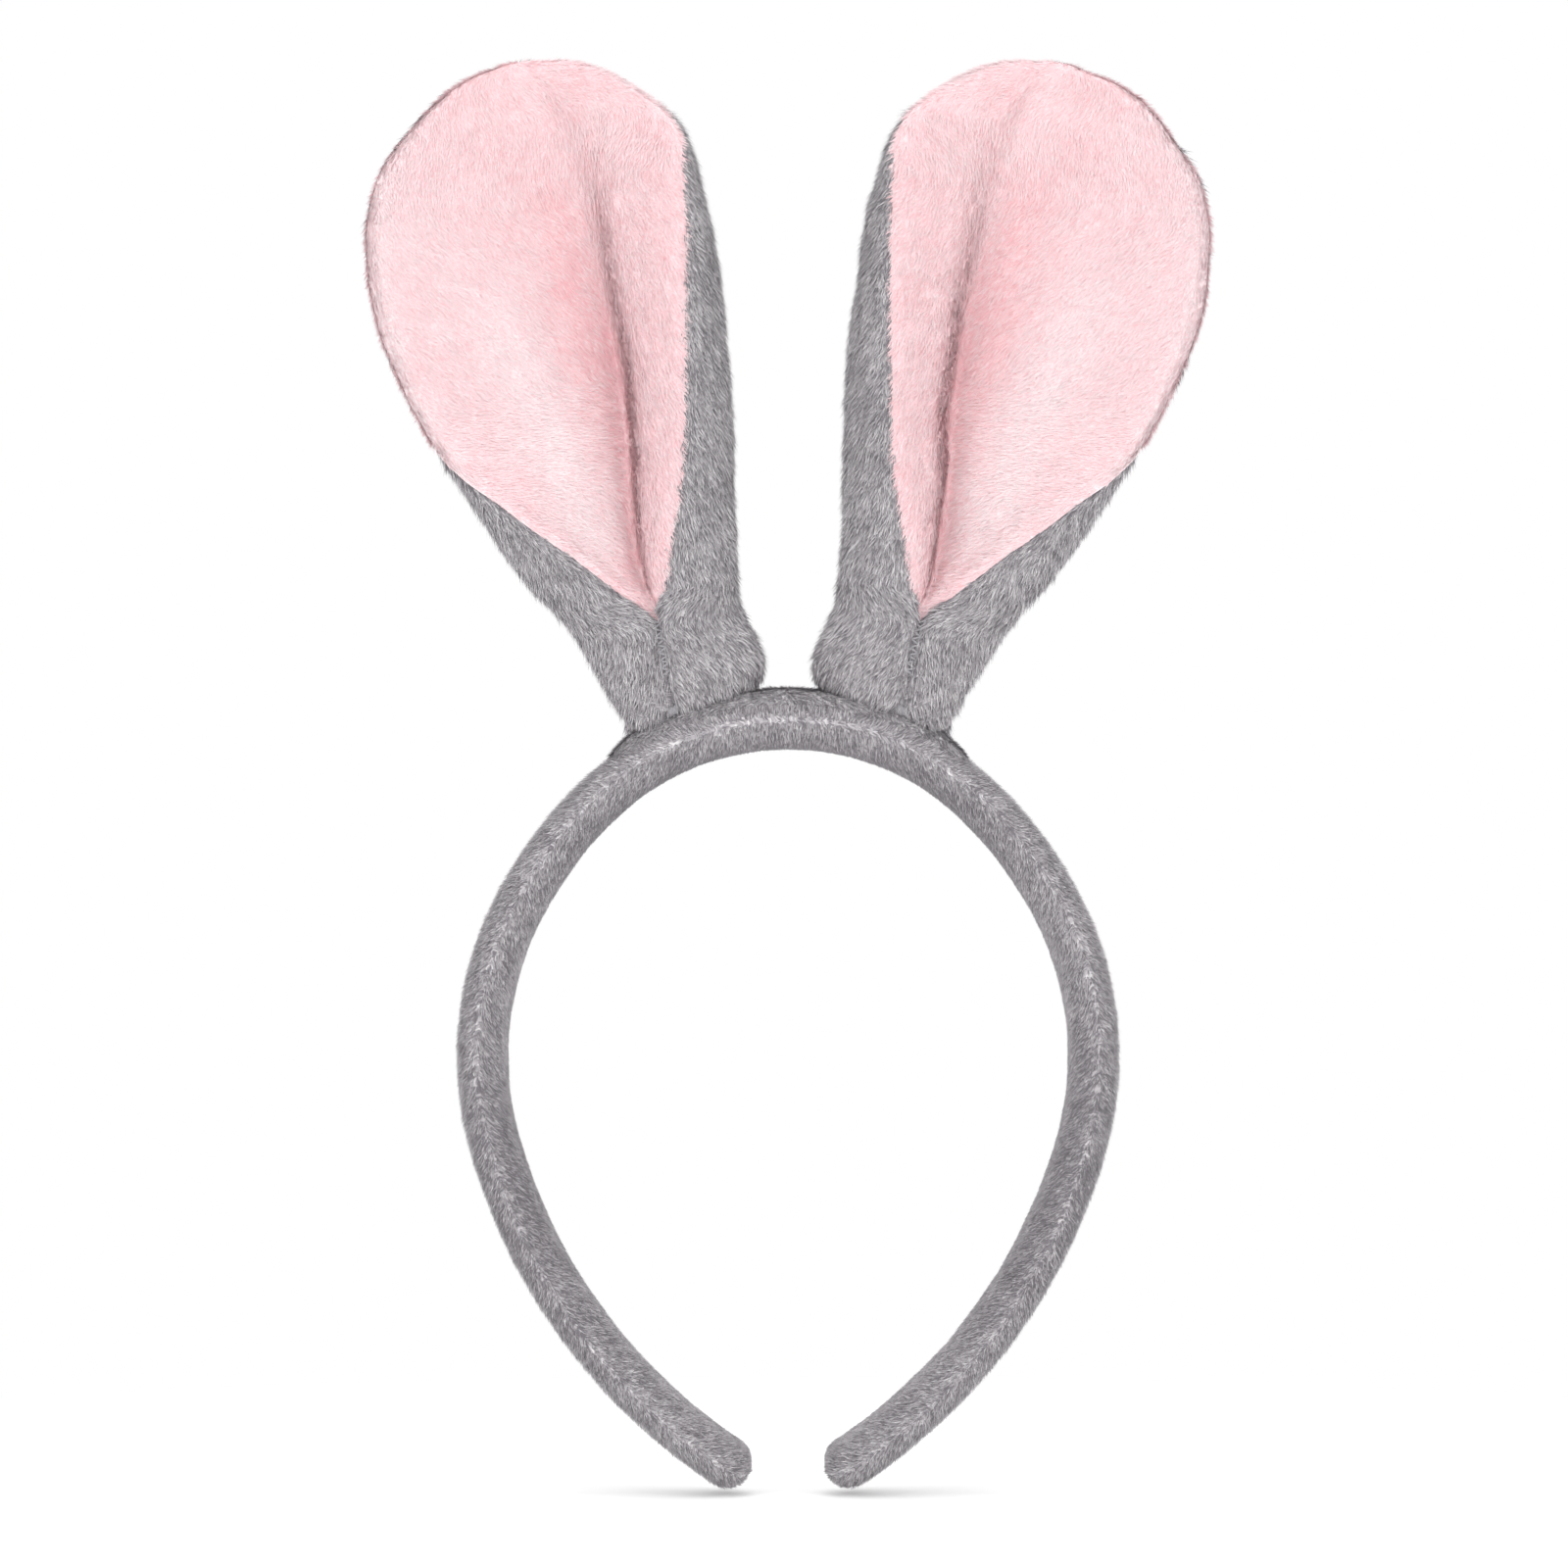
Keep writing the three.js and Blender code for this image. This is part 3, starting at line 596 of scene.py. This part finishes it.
def bandSection(columns):
    # from the crest at the front edge, out over the top, back, and under
    turn = np.linspace(0, 2 * math.pi, columns, endpoint=False)
    turn = turn - 0.35 * np.sin(2 * turn) * 0.5
    power = 2 / band["roundness"]
    cosine, sine = np.cos(turn), np.sin(turn)
    y = -np.sign(cosine) * np.abs(cosine) ** power * band["halfWidth"]
    r = np.sign(sine) * np.abs(sine) ** power * band["halfThickness"]
    lift = band["crestLift"] * np.clip(-y / band["halfWidth"], 0,
                                       1) ** 3 * (1 - np.abs(r) / band["halfThickness"])
    return r + lift, y


def makeBandHalf(side, material, pileMaterial):
    columns = 84
    r, y = bandSection(columns)
    steps = np.hypot(np.diff(np.append(r, r[0])), np.diff(np.append(y, y[0])))
    around = np.concatenate([[0], np.cumsum(steps)])
    girth = around[-1]
    fromCrest = np.minimum(around, girth - around)  # distance from the crest, both ways
    calmness = smoothStep(np.where(around[:-1] > girth / 2, fromCrest[:-1], 0), 2.0, 9.0)
    stops = list(np.arange(0, bandLength, band["rowStep"])) + [bandLength]
    rows, alongs, shrinks = [], [], []
    for s in stops:
        rows.append(bandPoints(s, r, y))
        alongs.append(s)
        shrinks.append(1.0)
    for angle in np.linspace(0, math.pi / 2, 9)[1:]:
        shrink = max(math.cos(angle), 0.015)
        s = bandLength + band["halfThickness"] * math.sin(angle)
        rows.append(bandPoints(s, r * shrink, y * shrink))
        alongs.append(s)
        shrinks.append(shrink)
    points = np.array(rows)
    if side < 0:
        points[:, :, 0] *= -1
    normal = gridNormals(points, closed=True) * (1 if side > 0 else -1)
    towards = points - points.mean(axis=1, keepdims=True)
    if (normal * towards).sum() < 0:
        normal = -normal
    lumps = unevenness(points, 7.0, 3.0) * band["lumps"] + unevenness(points, 2.6,
                                                                      11.0) * band["lumps"] * 0.6
    fade = smoothStep(np.array(alongs), 0.0, 9.0)[:, None] * smoothStep(bandLength
                                                                        + 5.2 - np.array(alongs), 0, 3)[:, None]
    points = points + normal * (lumps * fade)[:, :, None]
    slant = math.radians(band["slant"])
    alongGrid = np.array(alongs)[:, None] + 0 * fromCrest[None, :]
    crestGrid = fromCrest[None, :] + 0 * alongGrid
    uv = np.stack([crestGrid * math.cos(slant) - alongGrid * math.sin(slant),
                   crestGrid * math.sin(slant) + alongGrid * math.cos(slant)], axis=-1)
    if side < 0:
        uv[:, :, 0] += 37.0
    # painted shade: the crest and the bands either side of it are painted darker, dimming the crest's highlight
    # and standing in for the pile's changing sheen
    shade = smoothStep(crestGrid[:, :-1], 0.2, 2.6) * (1 - smoothStep(crestGrid[:, :-1], 3.5,
                                                                      7.0)) * 0.3
    shade = shade + (1 - smoothStep(crestGrid[:, :-1], 0.0, 1.6)) * 0.22
    # painted shadow on the face towards the head, darkest under the crown
    shade = shade + calmness[None, :] * (0.95 - 0.85 * smoothStep(alongGrid[:, :-1], 20, 90))
    # painted shade on the lower arms, where less light falls
    shade = shade + 0.3 * np.exp(-((alongGrid[:, :-1] - 125) / 34.0) ** 2)
    label = "left" if side < 0 else "right"
    piece = gridPiece(f"band_plush_{label}", points[:, ::side], flipUv(uv, side), material,
                      closed=True,
                      masks={"calm": np.broadcast_to(calmness, points.shape[:2])[:, ::side],
                             "paintedShadeAndHighlight": shade[:, ::side]})
    crownNode = "cover_outer_crown" if side < 0 else "cover_inner_crown"
    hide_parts(f"cover_outer_{label}", f"cover_inner_{label}", crownNode)
    away = np.where(np.arange(columns) <= columns / 2, 1.0, -1.0) * math.sin(slant)
    follow = smoothStep(np.array(alongs), 3, 40)[:, None]  # at the crown the pile lies straight across
    flow = gridFlow(points, normal, np.broadcast_to(away, points.shape[:2]),
                    np.broadcast_to(math.cos(slant) * follow, points.shape[:2]), closed=True)
    # the fibres take the band's painted shade in their tone
    tone = band["tone"] + unevenness(points, 6.0, 5.0) * 0.07 + unevenness(points, 2.6,
                                                                           9.0) * 0.08 - shade * 0.5
    calm = np.broadcast_to(calmness, points.shape[:2]) * band["wornInside"]
    pile = makeFibres(f"band_pile_{label}", points, normal, flow, tone, calm, pileMaterial,
                      band["pile"], 11 + side, closed=True)
    flexStart = bandAt((band["flexAt"] - band["flexReach"]) * side)
    flexEnd = bandAt((band["flexAt"] + band["flexReach"]) * side)
    for part in (piece, pile):
        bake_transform(part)


def flipUv(uv, side):
    # the map of a reversed ring: its first column stays first
    return uv if side > 0 else uv[:, ::-1]


patch = {
    "halfLength": 34.6,
    "halfWidth": 7.9,
    "thickness": 2.1,
    "lumps": 0.14,
    "fill": 0.8,
}


def coverTop(y):
    share = np.clip(np.abs(np.asarray(y, float)) / band["halfWidth"], 0, 1) ** band["roundness"]
    return band["halfThickness"] * (1 - share) ** (1 / band["roundness"])


def patchTop(s, y):
    ends = np.clip(1 - np.abs(s / patch["halfLength"]) ** 5, 0, 1) ** 0.5
    sides = np.clip(1 - np.abs(np.asarray(y, float) / patch["halfWidth"]) ** 3.4, 0, 1) ** 0.5
    return coverTop(y) + (patch["thickness"] + 0.4) * ends * sides - 0.4


def makePatch(material, pileMaterial):
    along = patch["halfLength"] * np.sin(np.linspace(-0.5, 0.5, 121) * math.pi)
    across = patch["halfWidth"] * np.sin(np.linspace(-0.5, 0.5, 41) * math.pi)
    points = np.array([bandPoints(s, patchTop(s, across), across) for s in along])
    normal = gridNormals(points)
    if normal[:, :, 2].sum() < 0:
        normal = -normal
    lumps = unevenness(points, 5.0, 21.0) * patch["lumps"] + unevenness(points, 2.0,
                                                                        31.0) * patch["lumps"] * 0.5
    edge = smoothStep(patch["halfWidth"] - np.abs(across), 0, 1.2)[None, :]
    points = points + normal * (lumps * edge)[:, :, None]
    uv = np.stack([np.broadcast_to(along[:, None], points.shape[:2]) * 0.8 + across[None, :] * 0.6,
                   np.broadcast_to(across[None, :], points.shape[:2]) * 0.8 - along[:, None] * 0.6], axis=-1)
    # painted shadow along the patch's edges, where it steps down to the band
    shade = (1 - smoothStep(patch["halfWidth"] - np.abs(across), 0.0, 1.6))[None, :] * 0.35
    shade = np.broadcast_to(shade, points.shape[:2])
    piece = gridPiece("crown_patch_plush", points[:, ::-1], uv[:, ::-1], material,
                      masks={"calm": 0 * shade, "paintedShadeAndHighlight": shade[:, ::-1]})
    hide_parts("crown_patch")
    normal = gridNormals(points)
    if normal[:, :, 2].sum() < 0:
        normal = -normal
    flow = gridFlow(points, normal, np.full(shade.shape, -0.6), np.broadcast_to(np.sign(along)[:, None] * 0.8, shade.shape))
    # the fibres take the patch's painted shadow in their tone
    tone = band["tone"] + unevenness(points, 2.6, 9.0) * 0.1 - shade * 0.5
    pile = makeFibres("crown_patch_pile", points, normal, flow, tone, 0 * shade, pileMaterial,
                      band["pile"], 17)
    for part in (piece, pile):
        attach(part, "crown")


ear = {
    "height": 129.6,
    "width": 67.7,
    "depth": 27.0,
    "lean": 11.7,
    "seatAngle": 18.5,
    "footWidth": 30.0,
    "footDepth": 12.6,
    "bendFrom": 1.0,  # the foot stays sewn down to here
    "bendTo": 26.0,
    "creaseDepth": 0.9,
    "creaseWidth": 1.9,
    "seamGroove": 0.55,
    "wrapOut": 2.55,  # section places that the lining turns past its outer rim
    "wrapIn": 1.9,
    "capRise": 0.5,
    "puff": -0.1,  # the fibres add a little to the size
    "lobe": 0.3,  # how far the lining swells between the crease and its inner rim
    "fill": 0.7,
    "greyPile": {"density": 8.5, "length": 2.4, "lift": 17.0, "contrast": 0.29},
    "pinkPile": {"density": 11.0, "length": 1.9, "lift": 18.0, "contrast": 0.17},
}
footU = ear["footWidth"] / 2 / ear["width"]
footV = ear["footDepth"] / 2 / ear["depth"]
# height, then outer side, outer rim, fold, inner rim and inner side as (across, depth), then back depth
earRows = (
    (0, (-footU * 0.79, 0), (-0.065, -footV), (-0.04, -footV * 0.96), (-0.02, -footV),
     (footU * 0.88, 0), footV),
    (0.047, (-footU * 0.93, 0), (-0.065, -footV), (-0.04, -footV * 0.96), (-0.02, -footV),
     (footU * 1.05, 0), footV),
    (0.134, (-0.28, -0.02), (-0.065, -0.24), (-0.04, -0.215), (-0.02, -0.24), (0.205, 0), 0.25),
    (0.23, (-0.385, -0.06), (-0.205, -0.28), (-0.064, -0.1), (0.037, -0.333), (0.23, 0), 0.345),
    (0.345, (-0.486, -0.14), (-0.405, -0.31), (-0.052, 0.0), (0.121, -0.436), (0.272, 0), 0.448),
    (0.47, (-0.575, -0.17), (-0.545, -0.32), (-0.022, 0.06), (0.178, -0.47), (0.306, 0), 0.494),
    (0.61, (-0.645, -0.12), (-0.592, -0.26), (-0.012, 0.09), (0.237, -0.45), (0.337, 0), 0.505),
    (0.75, (-0.649, -0.02), (-0.592, -0.165), (-0.018, 0.1), (0.288, -0.36), (0.3435, 0), 0.47),
    (0.86, (-0.585, 0.06), (-0.53, -0.07), (-0.03, 0.08), (0.298, -0.24), (0.313, -0.02), 0.39),
    (0.938, (-0.448, 0.1), (-0.4, -0.015), (-0.07, 0.06), (0.172, -0.115), (0.198, 0.06), 0.287),
    (0.985, (-0.307, 0.13), (-0.28, 0.0), (-0.1, 0.046), (0.045, -0.011), (0.071, 0.12), 0.22),
    (1, (-0.17, 0.13), (-0.15, 0.04), (-0.11, 0.045), (-0.072, 0.04), (-0.052, 0.13), 0.2),
)
earTable = np.array([[row[0], *row[1], *row[2], *row[3], *row[4], *row[5],
                      row[6]] for row in earRows])
sectionPlaces = 11
seatRadius = 62.4
seatX = -seatRadius * math.sin(math.radians(ear["seatAngle"]))
seatZ = seatRadius * math.cos(math.radians(ear["seatAngle"])) - 50.0


def outlineAt(t):
    i = min(int(t), len(earTable) - 2)
    f = t - i
    a, b, c, d = (earTable[min(max(k, 0), len(earTable) - 1)] for k in (i - 1, i, i + 1, i + 2))
    return b + 0.5 * f * (c - a + f * (2 * a - 5 * b + 4 * c - d + f * (3 * (b - c) + d - a)))


def sectionControls(line):
    outSide, outRim, fold, inRim, inSide = (line[k:k + 2] * (ear["width"],
                                                             ear["depth"]) for k in (1, 3, 5, 7, 9))
    back = line[11] * ear["depth"]

    def between(a, b, u, v):
        return (a[0] + (b[0] - a[0]) * u, a[1] + (b[1] - a[1]) * v)

    across = outSide[0] + (inSide[0] - outSide[0]) * np.array((0.75, 0.3))
    return np.array([
        outRim,
        between(outRim, fold, 0.5, 0.6),
        fold,
        between(fold, inRim, 0.34, 0.6),
        inRim,
        between(inRim, inSide, 0.68, 0.3),
        inSide,
        (across[0], back),
        (across[1], outSide[1] + (back - outSide[1]) * 0.72),
        outSide,
        between(outRim, outSide, 0.68, 0.3),
    ])


def curveThrough(controls, places):
    # a closed smooth curve through the control points, at place numbers
    count = len(controls)
    places = np.asarray(places, float) % count
    i = np.floor(places).astype(int)
    f = (places - i)[:, None]
    p0, p1, p2, p3 = (controls[(i + k) % count] for k in (-1, 0, 1, 2))
    d0, d1, d2 = (np.maximum(np.sqrt(np.linalg.norm(b - a, axis=1)), 1e-4)[:, None]
                  for a, b in ((p0, p1), (p1, p2), (p2, p3)))
    m1 = ((p1 - p0) / d0 - (p2 - p0) / (d0 + d1) + (p2 - p1) / d1) * d1
    m2 = ((p2 - p1) / d1 - (p3 - p1) / (d1 + d2) + (p3 - p2) / d2) * d1
    return p1 + m1 * f + (-3 * p1 + 3 * p2 - 2 * m1 - m2) * f ** 2 + (2 * p1
                                                                      - 2 * p2 + m1 + m2) * f ** 3


def earPlace(u, v, w):
    # from a left ear's across, depth and height to the headband's frame
    u, v, w = (np.asarray(k, float) for k in (u, v, w))
    follow = np.clip(1 - w / 20.4, 0, 1) ** 2
    bend = math.tan(math.radians(ear["seatAngle"] - ear["lean"])) * u - u ** 2 / (2 * seatRadius)
    drop = (coverTop(0) - coverTop(v)) * 1.15 * (1 - smoothStep(w, -1, 9))
    height = w + follow * bend - drop
    sine, cosine = math.sin(math.radians(ear["lean"])), math.cos(math.radians(ear["lean"]))
    return np.stack([seatX + u * cosine - height * sine, v, seatZ + u * sine + height * cosine],
                    axis=-1)


def seamPlaces(t):
    # where the lining begins and ends on a section; above, it wraps on to the ear's very edge
    opened = float(smoothStep(t, 1.9, 2.5))
    wrapOut = float(smoothStep(t, 3.9, 5.4)) * ear["wrapOut"]
    wrapIn = float(smoothStep(t, 7.2, 8.9)) * ear["wrapIn"]
    return 2 - 2 * opened - wrapOut, 2 + 2 * opened + wrapIn


def rowNumbers(fromRow, count):
    # rows spaced evenly up the ear
    fine = np.linspace(fromRow, 11, 600)
    heights = np.array([outlineAt(t)[0] for t in fine])
    widths = np.array([outlineAt(t)[1] for t in fine]) * 0.52
    run = np.concatenate([[0], np.cumsum(np.hypot(np.diff(heights), np.diff(widths)))])
    return np.interp(np.linspace(0, run[-1], count), run, fine)


def earSheet(rows, placesOf, foot):
    # the grid of one ear fabric: u, v, w for each row and column, with the top turned over
    grid = []
    for t in rows:
        line = outlineAt(t)
        flat = curveThrough(sectionControls(line), placesOf(t))
        w = line[0] * ear["height"]
        grid.append(np.column_stack([flat, np.full(len(flat), w)]))
    grid = np.array(grid)
    if foot:
        tucks = []
        for depth, share in ((-1.3, 0.84), (-0.9, 0.94), (-0.3, 0.985)):
            ring = grid[0].copy()
            ring[:, 0:2] *= share
            ring[:, 2] = depth
            tucks.append(ring)
        grid = np.concatenate([np.array(tucks), grid])
    top = grid[-1]
    middle = curveThrough(sectionControls(outlineAt(11)), np.linspace(0, 11, 45)).mean(axis=0)
    caps = []
    for angle in np.linspace(0, math.pi / 2, 6)[1:]:
        ring = top.copy()
        ring[:, :2] = middle + (top[:, :2] - middle) * max(math.cos(angle), 0.02)
        ring[:, 2] = top[:, 2] + ear["capRise"] * math.sin(angle)
        caps.append(ring)
    return np.concatenate([grid, np.array(caps)])


def liningPlaces(t):
    low, high = seamPlaces(t)
    return np.linspace(low, high, 110)


def backPlaces(t):
    low, high = seamPlaces(t)
    ease = np.concatenate([np.linspace(high, 6, 35)[:-1], np.linspace(6, 9, 50)[:-1],
                           np.linspace(9, 11 + low, 35)])
    return ease


def arcAcross(grid):
    # distance along each row from its first column
    steps = np.linalg.norm(np.diff(grid[:, :, :2], axis=1), axis=2)
    return np.concatenate([np.zeros((len(grid), 1)), np.cumsum(steps, axis=1)], axis=1)


def placeEar(grid, side):
    points = earPlace(grid[:, :, 0], grid[:, :, 1], grid[:, :, 2])
    if side > 0:
        points[:, :, 0] *= -1
    return points


def pushOut(points, amount, reference):
    # moves points along their normals; reference is on the outer side
    amount = amount * np.clip(np.arange(len(points))[::-1] / 8, 0, 1)[:, None]  # not at the very top
    normal = gridNormals(points)
    if (normal * reference).sum() < 0:
        normal = -normal
    return points + normal * amount[:, :, None]


def makeEar(side, greyPlush, pinkPlush, greyPile, pinkPile, seamThread):
    label = "left" if side < 0 else "right"
    # lining
    rows = rowNumbers(1.94, 150)
    grid = earSheet(rows, liningPlaces, False)
    arc = arcAcross(grid)
    w = grid[:, :, 2]
    foldAt = np.array([curveThrough(sectionControls(outlineAt(t)), [2.0])[0, 0] for t in rows])
    foldAt = np.append(foldAt, np.full(len(grid) - len(rows), foldAt[-1]))[:, None]
    fromFold = grid[:, :, 0] - foldAt
    fade = smoothStep(w, 16, 34) * (1 - smoothStep(w, 62, 108))
    crease = np.exp(-np.abs(fromFold / ear["creaseWidth"]) ** 1.5) * fade
    rim = np.minimum(arc, arc[:, -1:] - arc)
    turned = np.array([liningPlaces(t) for t in rows])
    turned = np.concatenate([turned, np.repeat(turned[-1:], len(grid) - len(rows), axis=0)])
    turned = 1 - smoothStep(turned, -0.6, 0.35) * (1 - smoothStep(turned, 3.65, 4.6))
    groove = np.exp(-(rim / 1.3) ** 2) * ear["seamGroove"] * (1 - turned)
    points = placeEar(grid, side)
    lumps = (unevenness(points, 16.0, 41.0 + side) * 0.35 + unevenness(points, 5.0,
                                                                       51.0) * 0.12) * smoothStep(rim, 0, 4)
    ripple = 0.35 * np.exp(-((fromFold + 9) / 5.0) ** 2) * smoothStep(w, 50,
                                                                      70) * (1 - smoothStep(w, 100,
                                                                                            118))
    front = np.zeros_like(points)
    front[:, :, 1] = -1
    swell = ear["lobe"] * np.exp(-((fromFold - 5.5) / 3.2) ** 2) * smoothStep(w, 22,
                                                                              40) * (1 - smoothStep(w, 85, 112))
    points = pushOut(points, ear["puff"] + lumps - groove - crease * ear["creaseDepth"]
                     - ripple + swell, front)
    uv = np.stack([arc - arc[:, :1] + side * 23.0 + w * 0.12, w + 0 * arc], axis=-1)
    # painted shade in the crease, darker along the seam at the rim, and the outer wing painted lighter as a
    # painted highlight
    shade = crease * 0.75 + np.exp(-(rim / 1.0) ** 2) * 0.15 - smoothStep(-fromFold, 14,
                                                                          34) * 0.2 * smoothStep(w, 24, 50)
    # painted shade in the concave valley beside the crease
    valleyShade = np.exp(-((fromFold + 5) / 5.0) ** 2) * smoothStep(w, 44, 74) * (1 - smoothStep(w, 98,
                                                                                            114))
    # painted highlight: the sheen patch on the lower outer wing
    paintedHighlight = np.exp(-((fromFold + 8 + (w - 36) * 0.28) / 7.0) ** 2) * smoothStep(w, 22,
                                                                                 40) * (1 - smoothStep(w, 70, 104))
    # the turned-over rims are painted lighter: painted light on walls the lamps leave dim
    shade = shade + 0.5 * valleyShade - 0.7 * paintedHighlight - 0.5 * turned
    flip = slice(None, None, -1) if side > 0 else slice(None)
    lining = gridPiece(f"ear_lining_plush_{label}", points[:, flip], uv[:, flip], pinkPlush,
                       masks={"calm": 0 * shade[:, flip] + 0.2, "paintedShadeAndHighlight": shade[:, flip]})
    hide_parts(f"ear_{label}_lining")
    normal = gridNormals(points)
    if normal[:, :, 1].sum() > 0:
        normal = -normal
    flow = gridFlow(points, normal, np.full(w.shape, 0.55), np.full(w.shape, -0.85))
    # the lining fibres take the painted shade and painted highlight in their tone
    tone = 0.5 + unevenness(points, 7.0, 5.0) * 0.05 + unevenness(points, 2.4,
                                                                  9.0) * 0.07 - shade * 0.5
    liningPile = makeFibres(f"ear_lining_pile_{label}", points, normal, flow, tone, 0 * w, pinkPile,
                            ear["pinkPile"], 21 + side)
    # back
    rows = rowNumbers(0.0, 170)
    grid = earSheet(rows, backPlaces, True)
    arc = arcAcross(grid)
    w = grid[:, :, 2]
    rim = np.minimum(arc, arc[:, -1:] - arc)
    groove = np.exp(-(rim / 1.3) ** 2) * ear["seamGroove"]
    points = placeEar(grid, side)
    centre = points.mean(axis=1, keepdims=True)
    lumps = unevenness(points, 14.0, 61.0 + side) * 0.4 + unevenness(points, 4.5, 71.0) * 0.16
    low = 1 - smoothStep(w, 6, 30)
    tucks = 0.45 * np.sin(arc * 1.3 + 1.2 * np.sin(arc * 0.4)) * (1 - smoothStep(w, 1, 9))
    points = pushOut(points, ear["puff"] + lumps * smoothStep(rim, 0, 4) * smoothStep(w, 0, 4) - groove + tucks * smoothStep(rim, 0, 3)
                     + 0.5 * low * smoothStep(rim, 1, 6), points - centre)
    outward = np.where(arc < arc[:, -1:] / 2, 1.0, -1.0)
    uv = np.stack([arc - w * 0.25 * outward + side * 57.0, w + arc * 0.25 * outward], axis=-1)
    # darker along the seam at the rim, and painted shade at the foot where the ear tucks into the patch
    shade = np.exp(-(rim / 0.9) ** 2) * 0.35 + (1 - smoothStep(w, -1.2, 1.6)) * 0.4
    flip = slice(None) if side > 0 else slice(None, None, -1)
    back = gridPiece(f"ear_back_plush_{label}", points[:, flip], uv[:, flip], greyPlush,
                     masks={"calm": 0 * shade, "paintedShadeAndHighlight": shade[:, flip]})
    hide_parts(f"ear_{label}_back", f"ear_{label}_filling")
    normal = gridNormals(points)
    if (normal * (points - centre)).sum() < 0:
        normal = -normal
    flow = gridFlow(points, normal, outward * 0.3, np.full(w.shape, -0.95))
    # the back fibres take the same darkening in their tone
    tone = 0.5 + unevenness(points, 7.0, 5.0) * 0.07 + unevenness(points, 2.6,
                                                                  9.0) * 0.1 - shade * 0.5
    backPile = makeFibres(f"ear_back_pile_{label}", points, normal, flow, tone, 0 * w, greyPile,
                          ear["greyPile"], 31 + side)
    makeBaseStitches(label, side, seamThread)
    seam = makeFrontSeam(label, side, seamThread)
    for piece in (lining, back, liningPile, backPile, seam):
        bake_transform(piece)


def tubePoints(path, radius, sides):
    # rings round a path of points
    path = np.array(path)
    direction = np.gradient(path, axis=0)
    direction /= np.linalg.norm(direction, axis=1, keepdims=True)
    helper = np.array((0.0, 1.0, 0.0))
    first = np.cross(direction, helper)
    first /= np.maximum(np.linalg.norm(first, axis=1, keepdims=True), 1e-6)
    second = np.cross(direction, first)
    angles = np.linspace(0, 2 * math.pi, sides, endpoint=False)
    return path[:, None] + radius * (first[:, None] * np.cos(angles)[None, :, None] + second[:, None] * np.sin(angles)[None, :, None])


def makeFrontSeam(label, side, material):
    spots = []
    for i, t in enumerate(np.linspace(1.05, 1.98, 15)):
        line = outlineAt(t)
        u = line[5] * ear["width"] + (0.9 if i % 2 else -0.9)
        spots.append(earPlace(u, line[4] * ear["depth"] + 0.5, line[0] * ear["height"]))
    spots = np.array(spots)
    if side > 0:
        spots[:, 0] *= -1
    fine = np.linspace(0, len(spots) - 1, 85)
    path = np.stack([np.interp(fine, range(len(spots)), spots[:, k]) for k in range(3)], axis=1)
    points = tubePoints(path, 0.24, 8)
    uv = np.zeros((len(points), 9, 2))
    uv[:, :, 0] = np.linspace(0, 1.5, 9)[None, :]
    uv[:, :, 1] = np.arange(len(points))[:, None] * 0.3
    piece = gridPiece(f"ear_front_lacing_{label}", points, uv, material, closed=True)
    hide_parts(f"ear_{label}_front_stitches")
    return piece


def makeBaseStitches(label, side, material):
    # whip stitches in the pile round the foot, from the hem down into the patch
    foot = curveThrough(sectionControls(outlineAt(0)), np.linspace(0, sectionPlaces, 57))
    foot = (foot - foot.mean(axis=0)) * 0.9 + foot.mean(axis=0)
    height = np.where(np.arange(len(foot)) % 2, 0.9, -0.7)
    path = earPlace(foot[:, 0], foot[:, 1], height)
    if side > 0:
        path[:, 0] *= -1
    fine = np.linspace(0, len(path) - 1, 281)
    path = np.stack([np.interp(fine, range(len(path)), path[:, k]) for k in range(3)], axis=1)
    points = tubePoints(path, 0.2, 6)
    uv = np.zeros((len(points), 7, 2))
    uv[:, :, 0] = np.linspace(0, 1.2, 7)[None, :]
    uv[:, :, 1] = np.arange(len(points))[:, None] * 0.3
    piece = gridPiece(f"ear_base_stitching_{label}", points, uv, material, closed=True)
    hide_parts(f"ear_{label}_base_stitches")
    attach(piece, "crown")


def finishCarriedNodes(materials):
    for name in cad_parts:
        node = bpy.data.objects.get(name)
        if node is None or node.type != "MESH":
            continue
        kind = "hoop" if name.startswith("core") else "foam" if name.startswith("foam") else "thread"
        if name.startswith(("core", "foam")) or "thread" in name or "stitches" in name:
            for slot in node.material_slots:
                slot.material = materials[kind]


makeCamera()
makeStudio()
print("stage: camera and studio ready")
pileGroup = makePileGroup()
greyPlush = makePlush("greyPlush", greyFinish, pileGroup, 1.25, 0.5, 0.0)
pinkPlush = makePlush("pinkPlush", pinkFinish, pileGroup, 0.7, 0.28, 5.0, 0.8)
seamThread = makePlainFinish("seamThread", (0.33, 0.32, 0.34, 1), 0.8, 4000, 0.4)
carried = {
    "hoop": makePlainFinish("hoopPlastic", (0.035, 0.035, 0.038, 1), 0.42, 900, 0.1),
    "foam": makePlainFinish("foamPad", (0.82, 0.78, 0.66, 1), 0.85, 2600, 0.7, 0.2),
    "thread": seamThread,
}
finishCarriedNodes(carried)
print("stage: finishes ready")
greyPile = makePileMaterial("greyPile", greyFinish)
pinkPile = makePileMaterial("pinkPile", pinkFinish)
for side in (-1, 1):
    makeBandHalf(side, greyPlush, greyPile)
makePatch(greyPlush, greyPile)
print("stage: band ready")
for side in (-1, 1):
    makeEar(side, greyPlush, pinkPlush, greyPile, pinkPile, seamThread)
print("stage: ears ready")
